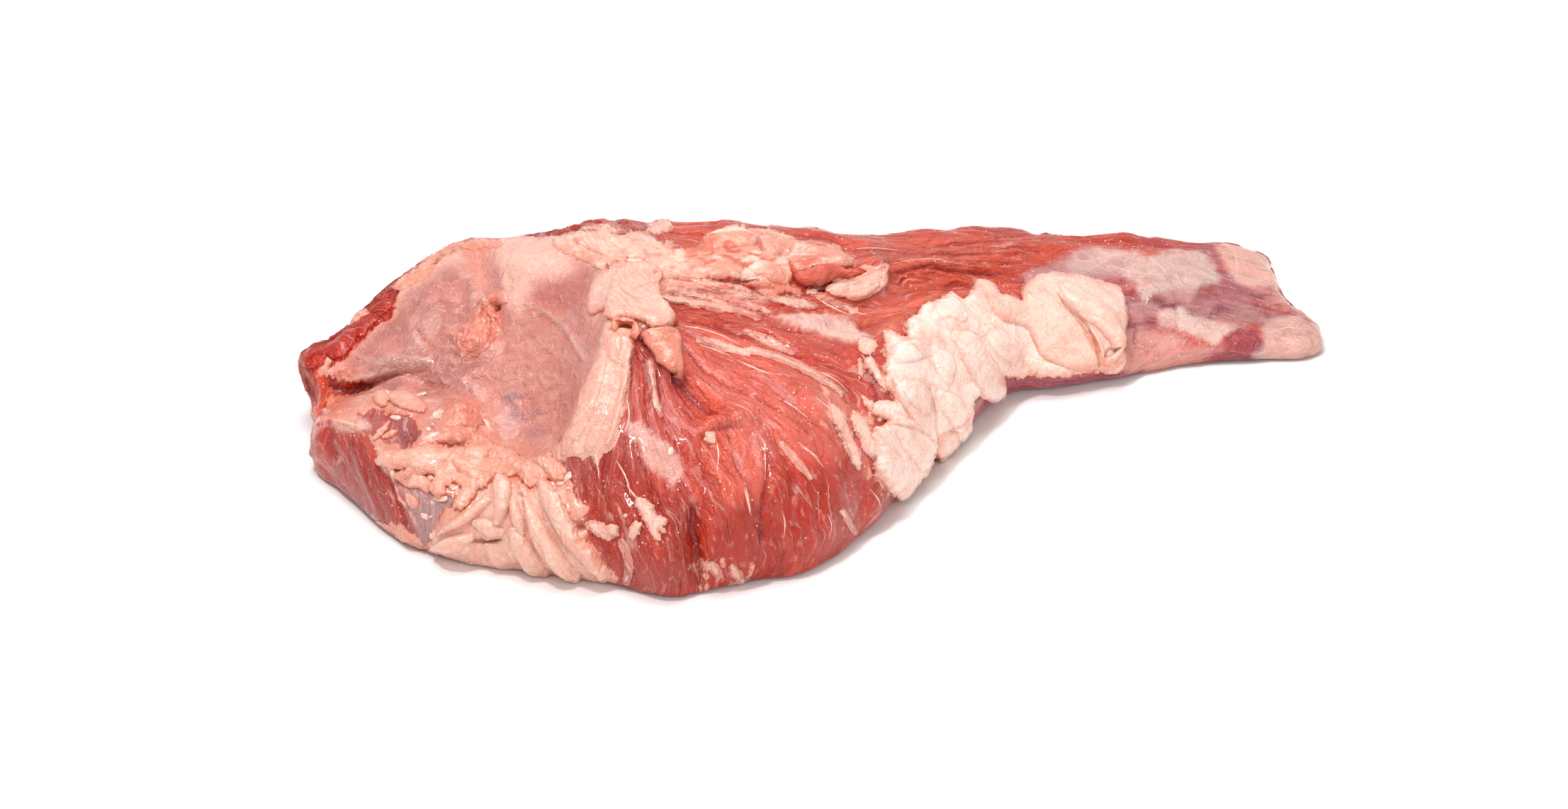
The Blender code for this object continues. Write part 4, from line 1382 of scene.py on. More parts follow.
@dataclass
class BeefBody:
    """The whole cut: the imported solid, smoothed, laid with fibres and carved in relief."""

    voxel: float = 2.3
    smoothing: int = 14
    bundle_size: float = 7.0
    bundle_length: float = 60.0
    bundle_height: float = 2.2
    strand_height: float = 1.0
    lump_size: float = 11.0
    lump_height: float = 1.1

    def coarse(self) -> Skin:
        """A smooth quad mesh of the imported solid.

        Returns:
            The mesh as arrays.
        """
        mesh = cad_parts[NODE].data.copy()
        work = bmesh.new()
        work.from_mesh(mesh)
        bmesh.ops.remove_doubles(work, verts=work.verts, dist=1e-6)
        work.to_mesh(mesh)
        work.free()
        copy = bpy.data.objects.new("coarse_body", mesh)
        bpy.context.scene.collection.objects.link(copy)
        remesh = copy.modifiers.new("voxels", "REMESH")
        remesh.mode, remesh.voxel_size, remesh.adaptivity = "VOXEL", self.voxel * MM, 0.0
        skin = self.evaluated(copy)
        edges = skin.edges()
        for _ in range(self.smoothing):
            skin.points = relax(skin.points, edges, 0.5)
            skin.points = relax(skin.points, edges, -0.52)
        bpy.data.objects.remove(copy)
        return skin

    def evaluated(self, source: bpy.types.Object) -> Skin:
        """The object as its modifiers leave it, as arrays in millimetres.

        Args:
            source: The object, which stays as it is.

        Returns:
            Its surface.
        """
        graph = bpy.context.evaluated_depsgraph_get()
        mesh = bpy.data.meshes.new_from_object(source.evaluated_get(graph), depsgraph=graph)
        points = np.empty(len(mesh.vertices) * 3, np.float32)
        mesh.vertices.foreach_get("co", points)
        faces = np.empty(len(mesh.loops), np.int32)
        mesh.loops.foreach_get("vertex_index", faces)
        grain = np.zeros((len(mesh.vertices), 2))
        if "grain" in mesh.attributes:
            flat = np.empty(len(mesh.vertices) * 3, np.float32)
            mesh.attributes["grain"].data.foreach_get("vector", flat)
            grain = flat.reshape(-1, 3)[:, :2].astype(float)
        bpy.data.meshes.remove(mesh)
        return Skin(points.reshape(-1, 3).astype(float) / MM, faces.reshape(-1, 4), grain)

    def refined(self, skin: Skin) -> Skin:
        """The same surface with four faces for each one, and its grain carried over.

        Args:
            skin: The coarse surface.

        Returns:
            The finer surface.
        """
        mesh = bpy.data.meshes.new("coarse_grain")
        mesh.from_pydata((skin.points * MM).tolist(), [], skin.faces.tolist())
        store = mesh.attributes.new("grain", "FLOAT_VECTOR", "POINT")
        flat = np.column_stack([skin.grain, np.zeros(len(skin.points))])
        store.data.foreach_set("vector", flat.astype(np.float32).ravel())
        copy = bpy.data.objects.new("coarse_grain", mesh)
        bpy.context.scene.collection.objects.link(copy)
        finer = copy.modifiers.new("finer", "SUBSURF")
        finer.levels = finer.render_levels = 1
        result = self.evaluated(copy)
        bpy.data.objects.remove(copy)
        return result

    def carve(self, skin: Skin, tissue: dict[str, Array]) -> None:
        """Moves the surface out and in for bundles, lumps, creases and swells.

        Args:
            skin: The surface, which is changed.
            tissue: What the tissue map read for it, which gains the painted shade of its hollows.
        """
        normals = skin.normals()
        fat = smooth_step(tissue["fat_depth"], -0.6, 0.9)
        bundles = pillows(skin.grain / (self.bundle_length, self.bundle_size), 1.0, 11)
        strands = pillows(skin.grain / (26.0, 3.2), 1.0, 12)
        lumps = folds(skin.points, skin.grain, self.lump_size, 21)
        lean_high = (bundles - 0.6) * self.bundle_height + (strands - 0.55) * self.strand_height
        fat_high = (lumps - 0.5) * self.lump_height
        calm = tissue["calm"]
        skin_high = layered_noise(skin.points, 16, 31, 3) * 0.8
        high = (1 - fat) * lean_high + fat * fat_high
        high = high * (1 - 0.8 * calm) + skin_high * calm + 0.4 * fat
        # Painted shade in the valleys between bundles, strands and lumps.
        tissue["hollow"] = (1 - fat) * (0.9 - bundles * 0.6 - strands * 0.5) + fat * (0.75 - lumps)
        tissue["hollow"] = np.clip(tissue["hollow"] * (1 - calm), 0, 1)
        high += tissue["sunk"] + tissue["raised"]
        high *= smooth_step(skin.points[:, 2], 0.4, 5.0)
        skin.points = skin.points + normals * high[:, None]

    def build(
        self, material: bpy.types.Material, tissues: TissueMap
    ) -> tuple[Skin, Array, bpy.types.Object]:
        """Makes the body.

        Args:
            material: Its finish.
            tissues: The tissue map.

        Returns:
            The carved surface, its signed fat distance and the piece.
        """
        coarse = self.coarse()
        coarse.grain = MuscleGrain().lay(coarse)
        skin = self.refined(coarse)
        tissue = tissues.read(skin.points, skin.normals())
        self.carve(skin, tissue)
        piece = make_piece("tri_tip_body", skin, tissue, material, cavity(skin, 4))
        return skin, tissue["fat_depth"], piece


def split_quads(values: Array, faces: Array) -> tuple[Array, Array]:
    """Cuts every quad into four.

    Args:
        values: Anything stored for the vertices, one row each.
        faces: The quads.

    Returns:
        The values and quads of the finer mesh.
    """
    pairs = np.sort(np.concatenate([faces[:, [k, (k + 1) % 4]] for k in range(4)]), axis=1)
    edges, place = np.unique(pairs, axis=0, return_inverse=True)
    place = place.reshape(4, len(faces)) + len(values)
    centre = np.arange(len(faces)) + len(values) + len(edges)
    rows = np.vstack([values, values[edges].mean(axis=1), values[faces].mean(axis=1)])
    finer = [
        np.column_stack([faces[:, k], place[k], centre, place[(k + 3) % 4]]) for k in range(4)
    ]
    return rows, np.vstack(finer)


@dataclass(frozen=True)
class TissueSheet:
    """A closed sheet of tissue that lies on the body inside an outline, with domes and folds on it."""

    name: str
    outlines: tuple[Path, ...]
    tissue: Tissue = Tissue.FAT
    shade: str = ""
    shade_share: float = 0.6
    thickness: float = 1.6
    edge: float = 0.5
    round_width: float = 9.0
    ragged: float = 3.0
    domes: tuple[Relief, ...] = ()
    lump: float = 0.5
    lump_size: float = 5.0
    levels: int = 2
    sink: float = 1.2
    fade: float = 0.0
    shade_soft: float = 0.5
    blush_rim: bool = True
    calming: int = 0
    seed: int = 1

    def signed(self, at: Array) -> Array:
        """Signed pixel distance to the ragged outline."""
        best = np.full(len(at), -60.0)
        for outline in self.outlines:
            best = np.maximum(best, inside_distance(at, outline, self.ragged, 300 + self.seed))
        return best + self.fade

    def height(self, at: Array, signed: Array, lumps: Array) -> Array:
        """Height of the sheet's top above the body, in millimetres.

        Args:
            at: Pixels of the photo.
            signed: Distance in from the outline, in pixels.
            lumps: The folds of the tissue, from 0 to 1.

        Returns:
            One height for each pixel.
        """
        share = np.clip(signed / self.round_width, 0, 1)
        rise = self.edge + (self.thickness - self.edge) * np.sqrt(1 - (1 - share) ** 2)
        rise += (lumps - 0.5) * self.lump * share
        raised = np.zeros(len(at))
        sunk = np.zeros(len(at))
        for dome in self.domes:
            high = dome.read(at)[0]
            raised = np.maximum(raised, high)
            sunk = np.minimum(sunk, high)
        return np.maximum(rise + raised * (0.35 + 0.65 * share) + sunk, 0.15)

    def build(self, body: Skin, tissues: TissueMap, material: bpy.types.Material) -> bpy.types.Object:
        """Cuts the sheet's footprint out of the body's surface and gives it thickness.

        Args:
            body: The carved body.
            tissues: The tissue map.
            material: The sheet's finish.

        Returns:
            The piece.
        """
        normals = body.normals()
        at = VIEW.project(body.points)
        facing = VIEW.facing(body.points, normals)
        signed = np.where(facing > 0.03, self.signed(at), -60.0)
        faces = body.faces[(signed[body.faces] > 0).any(axis=1)]
        used, faces = np.unique(faces, return_inverse=True)
        faces = faces.reshape(-1, 4)
        rows = np.hstack([body.points, normals, body.grain, signed[:, None]])[used]
        for _ in range(self.levels):
            rows, faces = split_quads(rows, faces)
            inside = self.signed(VIEW.project(rows[:, :3]))
            rows[:, 8] = np.where(rows[:, 8] < -50, -60.0, inside)
            faces = faces[(rows[faces, 8] > 0).any(axis=1)]
        rows = self.snapped(rows, faces)
        used, faces = np.unique(faces, return_inverse=True)
        faces, rows = faces.reshape(-1, 4), rows[used]
        rows = self.calmed(rows, faces)
        points, normals, grain = rows[:, :3], rows[:, 3:6], rows[:, 6:8]
        normals = normals / np.linalg.norm(normals, axis=1)[:, None]
        at = VIEW.project(points)
        lumps = folds(points, grain, self.lump_size, 400 + self.seed)
        high = self.height(at, np.maximum(self.signed(at), 0), lumps)
        count = len(points)
        pairs = np.concatenate([faces[:, [k, (k + 1) % 4]] for k in range(4)])
        _, index, times = np.unique(
            np.sort(pairs, axis=1), axis=0, return_inverse=True, return_counts=True
        )
        rim = pairs[times[index.ravel()] == 1]
        skirts = np.column_stack([rim[:, 1], rim[:, 0], rim[:, 0] + count, rim[:, 1] + count])
        solid = Skin(
            np.vstack([points + normals * high[:, None], points - normals * self.sink]),
            np.vstack([faces, faces[:, ::-1] + count, skirts]),
            np.vstack([grain, grain]),
        )
        tissue = tissues.read(points, normals)
        doubled = {key: np.concatenate([value, value]) for key, value in tissue.items()}
        depth = np.full(count, 8.0 if self.tissue is Tissue.FAT else -8.0)
        if self.fade:
            depth = np.minimum(depth, (self.signed(at) - self.fade) * tissues.pixel)
            depth = np.maximum(depth, np.minimum(tissue["fat_depth"], 8.0))
        doubled["fat_depth"] = np.concatenate([depth, depth])
        if self.shade:
            share = self.shade_share * smooth_step(self.signed(doubled["pixels"]), 0, self.shade_soft)
            for key in ("lean_tint", "fat_tint"):
                doubled[key] += share[:, None] * (np.array(colour(self.shade)) - doubled[key])
        # Painted shade in the valleys between the sheet's lumps.
        hollow = np.clip((0.8 - lumps) * self.lump * 0.8, 0, 1)
        doubled["hollow"] = np.concatenate([hollow, hollow])
        rim_depth = 0.3 + np.maximum(self.signed(at), 0) * tissues.pixel
        if not self.blush_rim:
            rim_depth = np.full(count, 8.0)
        doubled["edge_depth"] = np.concatenate([rim_depth, rim_depth])
        doubled["calm"] = np.zeros(2 * count)
        # Painted shade along the sheet's own sunk lines, and a little of the body's.
        doubled["crease"] = np.maximum(doubled["crease"] * 0.2, self.hollow(doubled["pixels"]))
        sunk = cavity(Skin(solid.points[:count], faces, grain), 4)
        piece = make_piece(self.name, solid, doubled, material, np.concatenate([sunk, sunk]))
        keep_sharp(piece.data, rim)
        return piece

    def calmed(self, rows: Array, faces: Array) -> Array:
        """Evens out the body's relief under the sheet, with its rim left where it is.

        Args:
            rows: What is stored for the vertices.
            faces: The quads.

        Returns:
            The rows with calmer places.
        """
        pairs = np.concatenate([faces[:, [k, (k + 1) % 4]] for k in range(4)])
        edges, times = np.unique(np.sort(pairs, axis=1), axis=0, return_counts=True)
        inner = np.ones(len(rows), bool)
        inner[edges[times == 1].ravel()] = False
        result = rows.copy()
        for _ in range(self.calming):
            result[inner, :6] = relax(result[:, :6], edges, 0.7)[inner]
        return result

    def hollow(self, at: Array) -> Array:
        """Painted shade in the sheet's own sunk lines."""
        dark = np.zeros(len(at))
        for dome in self.domes:
            dark = np.maximum(dark, dome.read(at)[1])
        return dark

    def snapped(self, rows: Array, faces: Array) -> Array:
        """Pulls the vertices outside the outline onto it, along the edge to the deepest neighbour.

        Args:
            rows: What is stored for the vertices.
            faces: The quads.

        Returns:
            The rows with the rim on the outline.
        """
        signed = rows[:, 8]
        best = np.full(len(rows), -1)
        deepest = np.zeros(len(rows))
        for first, second in itertools.permutations(range(4), 2):
            outer, inner = faces[:, first], faces[:, second]
            better = (signed[outer] <= 0) & (signed[inner] > deepest[outer])
            best[outer[better]] = inner[better]
            deepest[outer[better]] = signed[inner[better]]
        moved = np.flatnonzero(best >= 0)
        share = signed[moved] / (signed[moved] - signed[best[moved]] - 1e-9)
        share = np.where(signed[moved] < -50, 0.9, np.clip(share, 0, 0.95))[:, None]
        result = rows.copy()
        result[moved] = rows[moved] * (1 - share) + rows[best[moved]] * share
        return result


def strip(line: Path, half_width: float) -> Path:
    """The outline of a strip with pointed ends along a line.

    Args:
        line: The middle of the strip.
        half_width: Half of its greatest width.

    Returns:
        The points round it.
    """
    middle = smooth_curve(line, closed=False, step=7)
    way = np.gradient(middle, axis=0)
    side = np.column_stack([way[:, 1], -way[:, 0]]) / np.linalg.norm(way, axis=1)[:, None]
    share = np.linspace(0, 1, len(middle))
    width = half_width * (0.25 + 0.75 * np.sin(np.pi * share) ** 0.7)
    left = middle + side * width[:, None]
    right = (middle - side * width[:, None])[::-1]
    return tuple((float(x), float(y)) for x, y in np.vstack([left, right]))


SHEETS: tuple[TissueSheet, ...] = (
    # The ridge: a strip of fat up its back, a folded cap, a thin flap and a hanging tab.
    TissueSheet(
        "ridge_strip",
        (path(866, 466, 888, 478, 896, 494, 889, 510, 889, 530, 885, 559, 880, 583, 874, 602, 872, 622,
         862, 634, 850, 640, 842, 656, 834, 646, 822, 652, 810, 644, 796, 652, 784, 646, 784, 632, 794, 614,
         800, 600, 804, 586, 812, 566, 820, 545, 832, 524, 846, 500, 857, 480),),
        shade="#EFBAAB", thickness=0.35, edge=0.02, round_width=7, ragged=4.5, fade=0.0, lump=0.9,
        lump_size=5.0, seed=1, calming=40, blush_rim=False, shade_soft=14,
        domes=(
            Relief(path(886, 480, 884, 520, 880, 560, 870, 600, 860, 626), 2.2, 8),
            Relief(path(852, 500, 838, 540, 824, 580, 812, 616), 0.9, 10, crisp=True),
            Relief(path(846, 600, 836, 622, 830, 640), 0.9, 6, crisp=True),
            Relief(path(816, 600, 802, 622, 796, 640), 0.9, 6, crisp=True),
            Relief(path(880, 474, 886, 490, 878, 505), 1.4, 8, crisp=True),
            Relief(path(866, 486, 864, 500, 870, 512), 1.0, 5, crisp=True),
            Relief(path(846, 562, 858, 550, 872, 553), -0.7, 3, 0.1),
            Relief(path(866, 512, 878, 520, 886, 534), -0.6, 3, 0.1),
        ),
    ),
    TissueSheet(
        "ridge_cap",
        (path(868, 392, 878, 374, 896, 368, 912, 372, 926, 378, 933, 388, 927, 402, 929, 420, 938, 437,
         946, 448, 945, 459, 937, 464, 920, 465, 911, 459, 905, 455, 896, 452, 888, 449, 877, 450, 866, 456,
         858, 450, 860, 434, 866, 414),),
        shade="#F6CDBD", thickness=3.8, edge=1.1, round_width=12, ragged=4.0, lump=1.3, lump_size=5.0,
        seed=2, calming=16,
        domes=(
            Relief(path(880, 380, 898, 376, 915, 382, 926, 392), 1.2, 9),
            Relief(path(880, 432, 900, 420, 920, 428, 936, 448), 1.6, 10),
            Relief(path(870, 440, 885, 442, 900, 446, 930, 458), 1.0, 6),
            Relief(path(918, 386, 928, 388), 1.4, 6),
            Relief(path(922, 388, 926, 389), -1.6, 3, 0.4),
            Relief(path(898, 410, 912, 404, 926, 402), -1.3, 3, 0.16),
            Relief(path(878, 408, 886, 420, 900, 428), -0.8, 3, 0.1),
        ),
    ),
    TissueSheet(
        "ridge_flap",
        (path(878, 372, 856, 382, 846, 390, 838, 400, 833, 418, 831, 436, 836, 446, 848, 440, 866, 438,
         880, 440, 886, 410, 886, 384),),
        shade="#F2C6B9", thickness=1.6, edge=0.5, round_width=8, ragged=1.5, lump=0.2, seed=3, calming=25,
    ),
    TissueSheet(
        "ridge_loop",
        (path(866, 452, 878, 449, 890, 449, 900, 456, 902, 468, 896, 480, 888, 476, 892, 464, 884, 458,
         874, 462, 868, 470, 862, 464),),
        shade="#F2A088", thickness=3.4, edge=1.0, round_width=7, ragged=1.0, lump=0.4, seed=4, calming=20,
    ),
    TissueSheet(
        "ridge_tab",
        (path(906, 476, 918, 468, 937, 464, 946, 468, 954, 477, 958, 494, 960, 534, 952, 531, 938, 518,
         924, 505, 913, 490),),
        shade="#D27660", shade_share=0.8, thickness=2.6, edge=1.5, round_width=5, ragged=0.6, lump=0.1,
        seed=5, calming=60,
        domes=(
            Relief(path(914, 474, 932, 470, 948, 474), 0.9, 7),
            Relief(path(948, 482, 955, 524), 0.5, 5),
        ),
    ),
    # Lobes of fat at the foot of the ridge.
    TissueSheet(
        "foot_lobes",
        (LOBE_FAT,),
        shade="#DF9F8D", shade_share=0.5, thickness=1.0, edge=0.3, round_width=10, ragged=5.0, lump=0.8,
        lump_size=5.0, seed=6, calming=10,
        domes=(
            Relief(path(622, 752, 650, 736, 676, 720, 692, 708), 2.6, 6, crisp=True),
            Relief(path(617, 772, 640, 765, 666, 755), 2.8, 7, crisp=True),
            Relief(path(672, 738, 690, 744, 708, 750), 1.9, 8, crisp=True),
            Relief(path(704, 678, 710, 700, 709, 720, 703, 736), 3.6, 8, crisp=True),
            Relief(path(722, 708, 730, 730, 738, 752), 2.6, 7, crisp=True),
            Relief(path(726, 750, 738, 772, 752, 790, 770, 806), 3.2, 11, crisp=True),
            Relief(path(744, 712, 758, 744, 778, 775, 800, 800, 814, 810), 3.8, 10, crisp=True),
            Relief(path(766, 682, 786, 714, 808, 748, 832, 780, 852, 804), 4.4, 15, crisp=True),
            Relief(path(735, 688, 742, 700), 2.0, 8, crisp=True),
            Relief(path(640, 784, 680, 792, 720, 798), 1.4, 9),
            Relief(path(690, 762, 700, 784, 714, 796), 1.6, 10),
            Relief(path(665, 762, 690, 764, 708, 760), -1.6, 3, 0.5),
            Relief(path(810, 738, 814, 744, 819, 751), -3.0, 4, 0.95),
            Relief(path(792, 702, 796, 716), -1.2, 3, 0.4),
        ),
    ),
    # The frilly fat between the membrane and the lobes.
    TissueSheet(
        "frilly_fat",
        (path(530, 652, 545, 640, 575, 640, 600, 632, 620, 634, 655, 634, 690, 630, 722, 640, 745, 652,
         762, 650, 775, 640, 788, 648, 800, 665, 790, 680, 770, 676, 750, 690, 735, 680, 716, 672, 700, 670,
         690, 686, 668, 704, 650, 720, 645, 710, 655, 690, 640, 684, 628, 694, 614, 700, 604, 688, 612, 676,
         596, 672, 570, 680, 562, 672, 575, 662, 555, 662),),
        shade="#F3BEAB", shade_share=0.6, thickness=2.2, edge=0.9, round_width=12, ragged=8.0, lump=1.8,
        lump_size=6.0, seed=7,
        domes=(
            Relief(path(560, 652, 600, 646, 640, 652), 0.9, 9),
            Relief(path(640, 652, 665, 672, 690, 680), 1.6, 8, crisp=True),
            Relief(path(700, 650, 725, 660, 745, 672), 1.6, 8, crisp=True),
            Relief(path(760, 655, 775, 660, 782, 676), 1.8, 7, crisp=True),
            Relief(path(660, 648, 690, 640), 1.2, 8, crisp=True),
        ),
    ),
    TissueSheet(
        "crumpled_fat",
        (path(604, 626, 616, 616, 612, 600, 622, 584, 632, 566, 650, 558, 672, 572, 684, 594, 672, 612,
         690, 622, 700, 634, 680, 638, 640, 632, 615, 634),),
        shade="#D98576", shade_share=0.6, thickness=1.3, edge=0.02, round_width=18, ragged=8.0, lump=1.8,
        lump_size=5.0, seed=8, fade=0.0, blush_rim=False, shade_soft=16,
        domes=(
            Relief(path(606, 624, 630, 622, 658, 620), 1.8, 6, crisp=True),
            Relief(path(636, 582, 650, 574, 662, 582), 1.0, 8, crisp=True),
            Relief(path(630, 600, 650, 596, 670, 602), 1.0, 7, crisp=True),
        ),
    ),
    TissueSheet(
        "red_crumple",
        (path(640, 482, 646, 462, 662, 452, 668, 438, 680, 424, 688, 412, 700, 404, 714, 412, 718, 430,
         704, 436, 708, 452, 700, 470, 690, 486, 670, 500, 652, 506, 642, 496),),
        shade="#D4796B", shade_share=0.35, thickness=0.9, edge=0.02, round_width=16, ragged=8.0, lump=2.4,
        lump_size=3.4, shade_soft=12, seed=9, blush_rim=False,
        domes=(
            Relief(path(650, 490, 656, 470, 668, 460), 1.3, 6, crisp=True),
            Relief(path(664, 494, 678, 484, 690, 466), 1.3, 6, crisp=True),
            Relief(path(672, 446, 684, 428, 698, 416), 1.3, 6, crisp=True),
            Relief(path(690, 444, 704, 450), 1.0, 4, crisp=True),
        ),
    ),
    # The thick fat band along the right edge.
    TissueSheet(
        "band_fat",
        (BAND_FAT,),
        shade="#FFE8DC", shade_share=0.45, thickness=2.4, edge=0.7, round_width=13, ragged=7.0, levels=1,
        lump=1.2, lump_size=8.0, seed=10, fade=0.6, calming=16,
        domes=(
            Relief(path(1256, 541, 1270, 576, 1288, 604), -0.8, 3, 0.2),
            Relief(path(1305, 550, 1313, 576, 1314, 607, 1318, 640), -0.8, 3, 0.2),
            Relief(path(1256, 512, 1280, 500, 1302, 500), 1.5, 12, crisp=True),
            Relief(path(1318, 452, 1336, 440, 1352, 452), 1.7, 11, crisp=True),
            Relief(path(1345, 478, 1364, 490, 1376, 506), 1.5, 12, crisp=True),
            Relief(path(1262, 600, 1284, 622, 1296, 652), 1.6, 17, crisp=True),
            Relief(path(1320, 560, 1338, 578, 1346, 600), 1.5, 12, crisp=True),
            Relief(path(1272, 548, 1288, 558, 1298, 578), 1.2, 12, crisp=True),
            Relief(path(1312, 500, 1326, 516, 1330, 536), 1.3, 12, crisp=True),
            Relief(path(1244, 640, 1254, 672), 1.3, 13, crisp=True),
            Relief(path(1390, 470, 1410, 490, 1430, 510), 1.2, 12, crisp=True),
            Relief(path(1445, 510, 1480, 524, 1520, 528), 1.0, 9, crisp=True),
            Relief(path(1250, 600, 1290, 610, 1312, 625), -0.8, 4, 0.12),
        ),
    ),
    TissueSheet(
        "band_lobe",
        (path(1355, 490, 1384, 494, 1400, 512, 1408, 530, 1413, 554, 1401, 562, 1382, 560, 1366, 545,
         1352, 520, 1346, 500),),
        shade="#F7D3C3", thickness=3.0, edge=1.6, round_width=9, ragged=3.5, levels=1, lump=0.7,
        lump_size=8.0, seed=23, calming=10,
    ),
    TissueSheet(
        "band_upper_fold",
        (path(1373, 411, 1388, 431, 1402, 453, 1419, 462, 1441, 464, 1454, 480, 1468, 504, 1490, 517,
         1530, 522, 1574, 516, 1584, 500, 1577, 488, 1586, 449, 1578, 418, 1556, 407, 1516, 396, 1468, 396,
         1446, 409, 1441, 430, 1425, 427, 1407, 420, 1399, 409, 1383, 403),),
        shade="#EEBBA6", shade_share=0.5, thickness=3.6, edge=1.6, round_width=10, ragged=3.5, lump=0.7,
        lump_size=12.0, seed=11, calming=30,
        domes=(
            Relief(path(1498, 414, 1508, 430, 1528, 442, 1548, 450, 1564, 464, 1572, 482), 2.4, 8),
            Relief(path(1540, 470, 1550, 492, 1556, 510), 1.6, 8),
            Relief(path(1490, 424, 1500, 438, 1520, 452, 1534, 470, 1540, 497, 1546, 516), -1.8, 4, 0.25),
            Relief(path(1560, 504, 1570, 496, 1577, 492), -2.2, 5, 0.5),
            Relief(path(1452, 425, 1480, 440, 1500, 470), 0.8, 14),
        ),
    ),
    TissueSheet(
        "band_curl",
        (strip(path(1496, 410, 1510, 430, 1530, 446, 1550, 456, 1566, 470, 1574, 490, 1570, 506, 1556, 514),
         8.0),),
        shade="#FBDDCD", shade_share=0.6, thickness=5.0, edge=3.4, round_width=8, ragged=1.5, lump=0.4,
        lump_size=8.0, seed=29, calming=30,
        domes=(
            Relief(path(1560, 504, 1568, 499, 1574, 494), -3.0, 4, 0.6),
        ),
    ),
    TissueSheet(
        "band_small_flap",
        (path(1316, 618, 1322, 610, 1342, 608, 1346, 622, 1334, 634, 1322, 645, 1314, 634),),
        shade="#FBDACA", thickness=3.4, edge=2.4, round_width=7, ragged=3.0, levels=1, lump=0.8, seed=12,
    ),
    # The top: lumpy pads of fat, a red roll and a flap.
    TissueSheet(
        "top_fat",
        (TOP_FAT,),
        shade="#E5A08C", shade_share=0.12, thickness=0.9, edge=0.12, round_width=16, ragged=6.0, lump=1.5,
        lump_size=6.0, seed=13, fade=4.0, calming=8,
        domes=(
            Relief(path(1002, 342, 1030, 337, 1058, 342), 2.2, 13, crisp=True),
            Relief(path(1072, 342, 1090, 348, 1106, 356), 2.0, 12, crisp=True),
            Relief(path(966, 380, 1000, 372, 1040, 380), 2.0, 12, crisp=True),
            Relief(path(1000, 390, 1038, 391), 1.8, 7, crisp=True),
            Relief(path(1060, 378, 1086, 387, 1106, 398), 1.9, 9, crisp=True),
            Relief(path(1044, 402, 1066, 399, 1088, 405), 1.8, 6, crisp=True),
            Relief(path(1124, 346, 1152, 349, 1186, 358), 0.7, 6, crisp=True),
            Relief(path(1036, 397, 1068, 399), -1.0, 3, 0.5),
            Relief(path(1064, 333, 1070, 344, 1074, 356), -0.9, 2.5, 0.3),
        ),
    ),
    TissueSheet(
        "back_left_fat",
        (BACK_LEFT_FAT, path(917, 324, 924, 317, 942, 316, 944, 323, 932, 327, 922, 329), path(820, 326,
         845, 320, 870, 322, 890, 326, 870, 330, 840, 330)),
        shade="#F3BDAB", shade_share=0.5, thickness=0.9, edge=0.12, round_width=12, ragged=6.0, lump=0.9,
        lump_size=7.0, seed=24, fade=4.0, calming=8,
        domes=(
            Relief(path(850, 334, 890, 345, 930, 366, 962, 384), 2.2, 9, crisp=True),
            Relief(path(815, 340, 850, 350, 880, 362), 1.6, 8, crisp=True),
            Relief(path(905, 336, 925, 346, 940, 360), 1.6, 6, crisp=True),
            Relief(path(865, 362, 900, 358), 1.2, 6, crisp=True),
        ),
    ),
    TissueSheet(
        "red_roll",
        (path(1112, 371, 1118, 377, 1124, 384, 1134, 383, 1143, 379, 1157, 374, 1177, 373, 1195, 380,
         1216, 390, 1202, 396, 1184, 393, 1170, 398, 1154, 403, 1133, 404, 1120, 394),),
        tissue=Tissue.LEAN, shade="#EE8070", shade_share=0.85, thickness=2.9, edge=0.8, round_width=8,
        ragged=1.0, lump=0.15, seed=14, calming=24,
    ),
    TissueSheet(
        "top_flap",
        (path(1143, 411, 1150, 404, 1160, 406, 1174, 399, 1173, 392, 1182, 387, 1200, 393, 1213, 392,
         1226, 385, 1220, 382, 1212, 378, 1220, 374, 1233, 378, 1243, 374, 1253, 376, 1249, 388, 1251, 396,
         1246, 407, 1230, 415, 1222, 420, 1208, 424, 1194, 422, 1174, 418, 1164, 411),),
        shade="#F4C6B5", thickness=0.9, edge=0.5, round_width=4, ragged=3.0, lump=0.9, lump_size=3.0,
        seed=15, calming=24,
        domes=(
            Relief(path(1200, 396, 1222, 389, 1246, 378), 1.2, 3, crisp=True),
            Relief(path(1190, 418, 1214, 418, 1236, 404), 0.8, 4, crisp=True),
            Relief(path(1206, 404, 1222, 398), -0.5, 2.5, 0.2),
        ),
    ),
    # The ragged cut edge at the left end.
    TissueSheet(
        "cut_edge_lean",
        (path(424, 506, 437, 492, 455, 488, 463, 500, 458, 514, 440, 520, 428, 518), path(459, 488,
         470, 474, 492, 460, 502, 470, 500, 488, 486, 502, 468, 508, 458, 500), path(498, 462, 508, 452,
         525, 440, 534, 450, 522, 464, 508, 476), path(520, 440, 532, 424, 548, 412, 556, 424, 548, 438,
         530, 450)),
        tissue=Tissue.LEAN, shade="#C23D33", shade_share=0.6, thickness=1.3, edge=0.2, round_width=12,
        ragged=5.0, lump=1.2, lump_size=5.0, seed=25,
    ),
    TissueSheet(
        "cut_edge_fat",
        (strip(path(556, 408, 575, 396, 600, 378, 612, 358, 640, 346, 668, 344, 705, 342), 8.0),
         strip(path(495, 458, 508, 446, 522, 442), 7.0), strip(path(452, 530, 460, 512, 466, 496), 6.0),
         strip(path(500, 728, 530, 744, 560, 762, 590, 776), 9.0)),
        shade="#DB8770", thickness=0.45, edge=0.08, round_width=7, ragged=5.0, levels=1, lump=1.0,
        lump_size=5.0, seed=26, fade=2.0,
    ),
    # Loose scraps of fat and sinew.
    TissueSheet(
        "fringes",
        (BAND_FRINGE_A, BAND_FRINGE_B, BAND_FRINGE_C, strip(path(1213, 508, 1214, 522, 1217, 540), 2.6),
         strip(path(1216, 560, 1228, 572, 1240, 584), 2.8), path(1212, 482, 1222, 478, 1236, 482, 1232, 496,
         1220, 500, 1214, 492), path(900, 704, 912, 708, 924, 716, 930, 727, 939, 729, 945, 738, 936, 743,
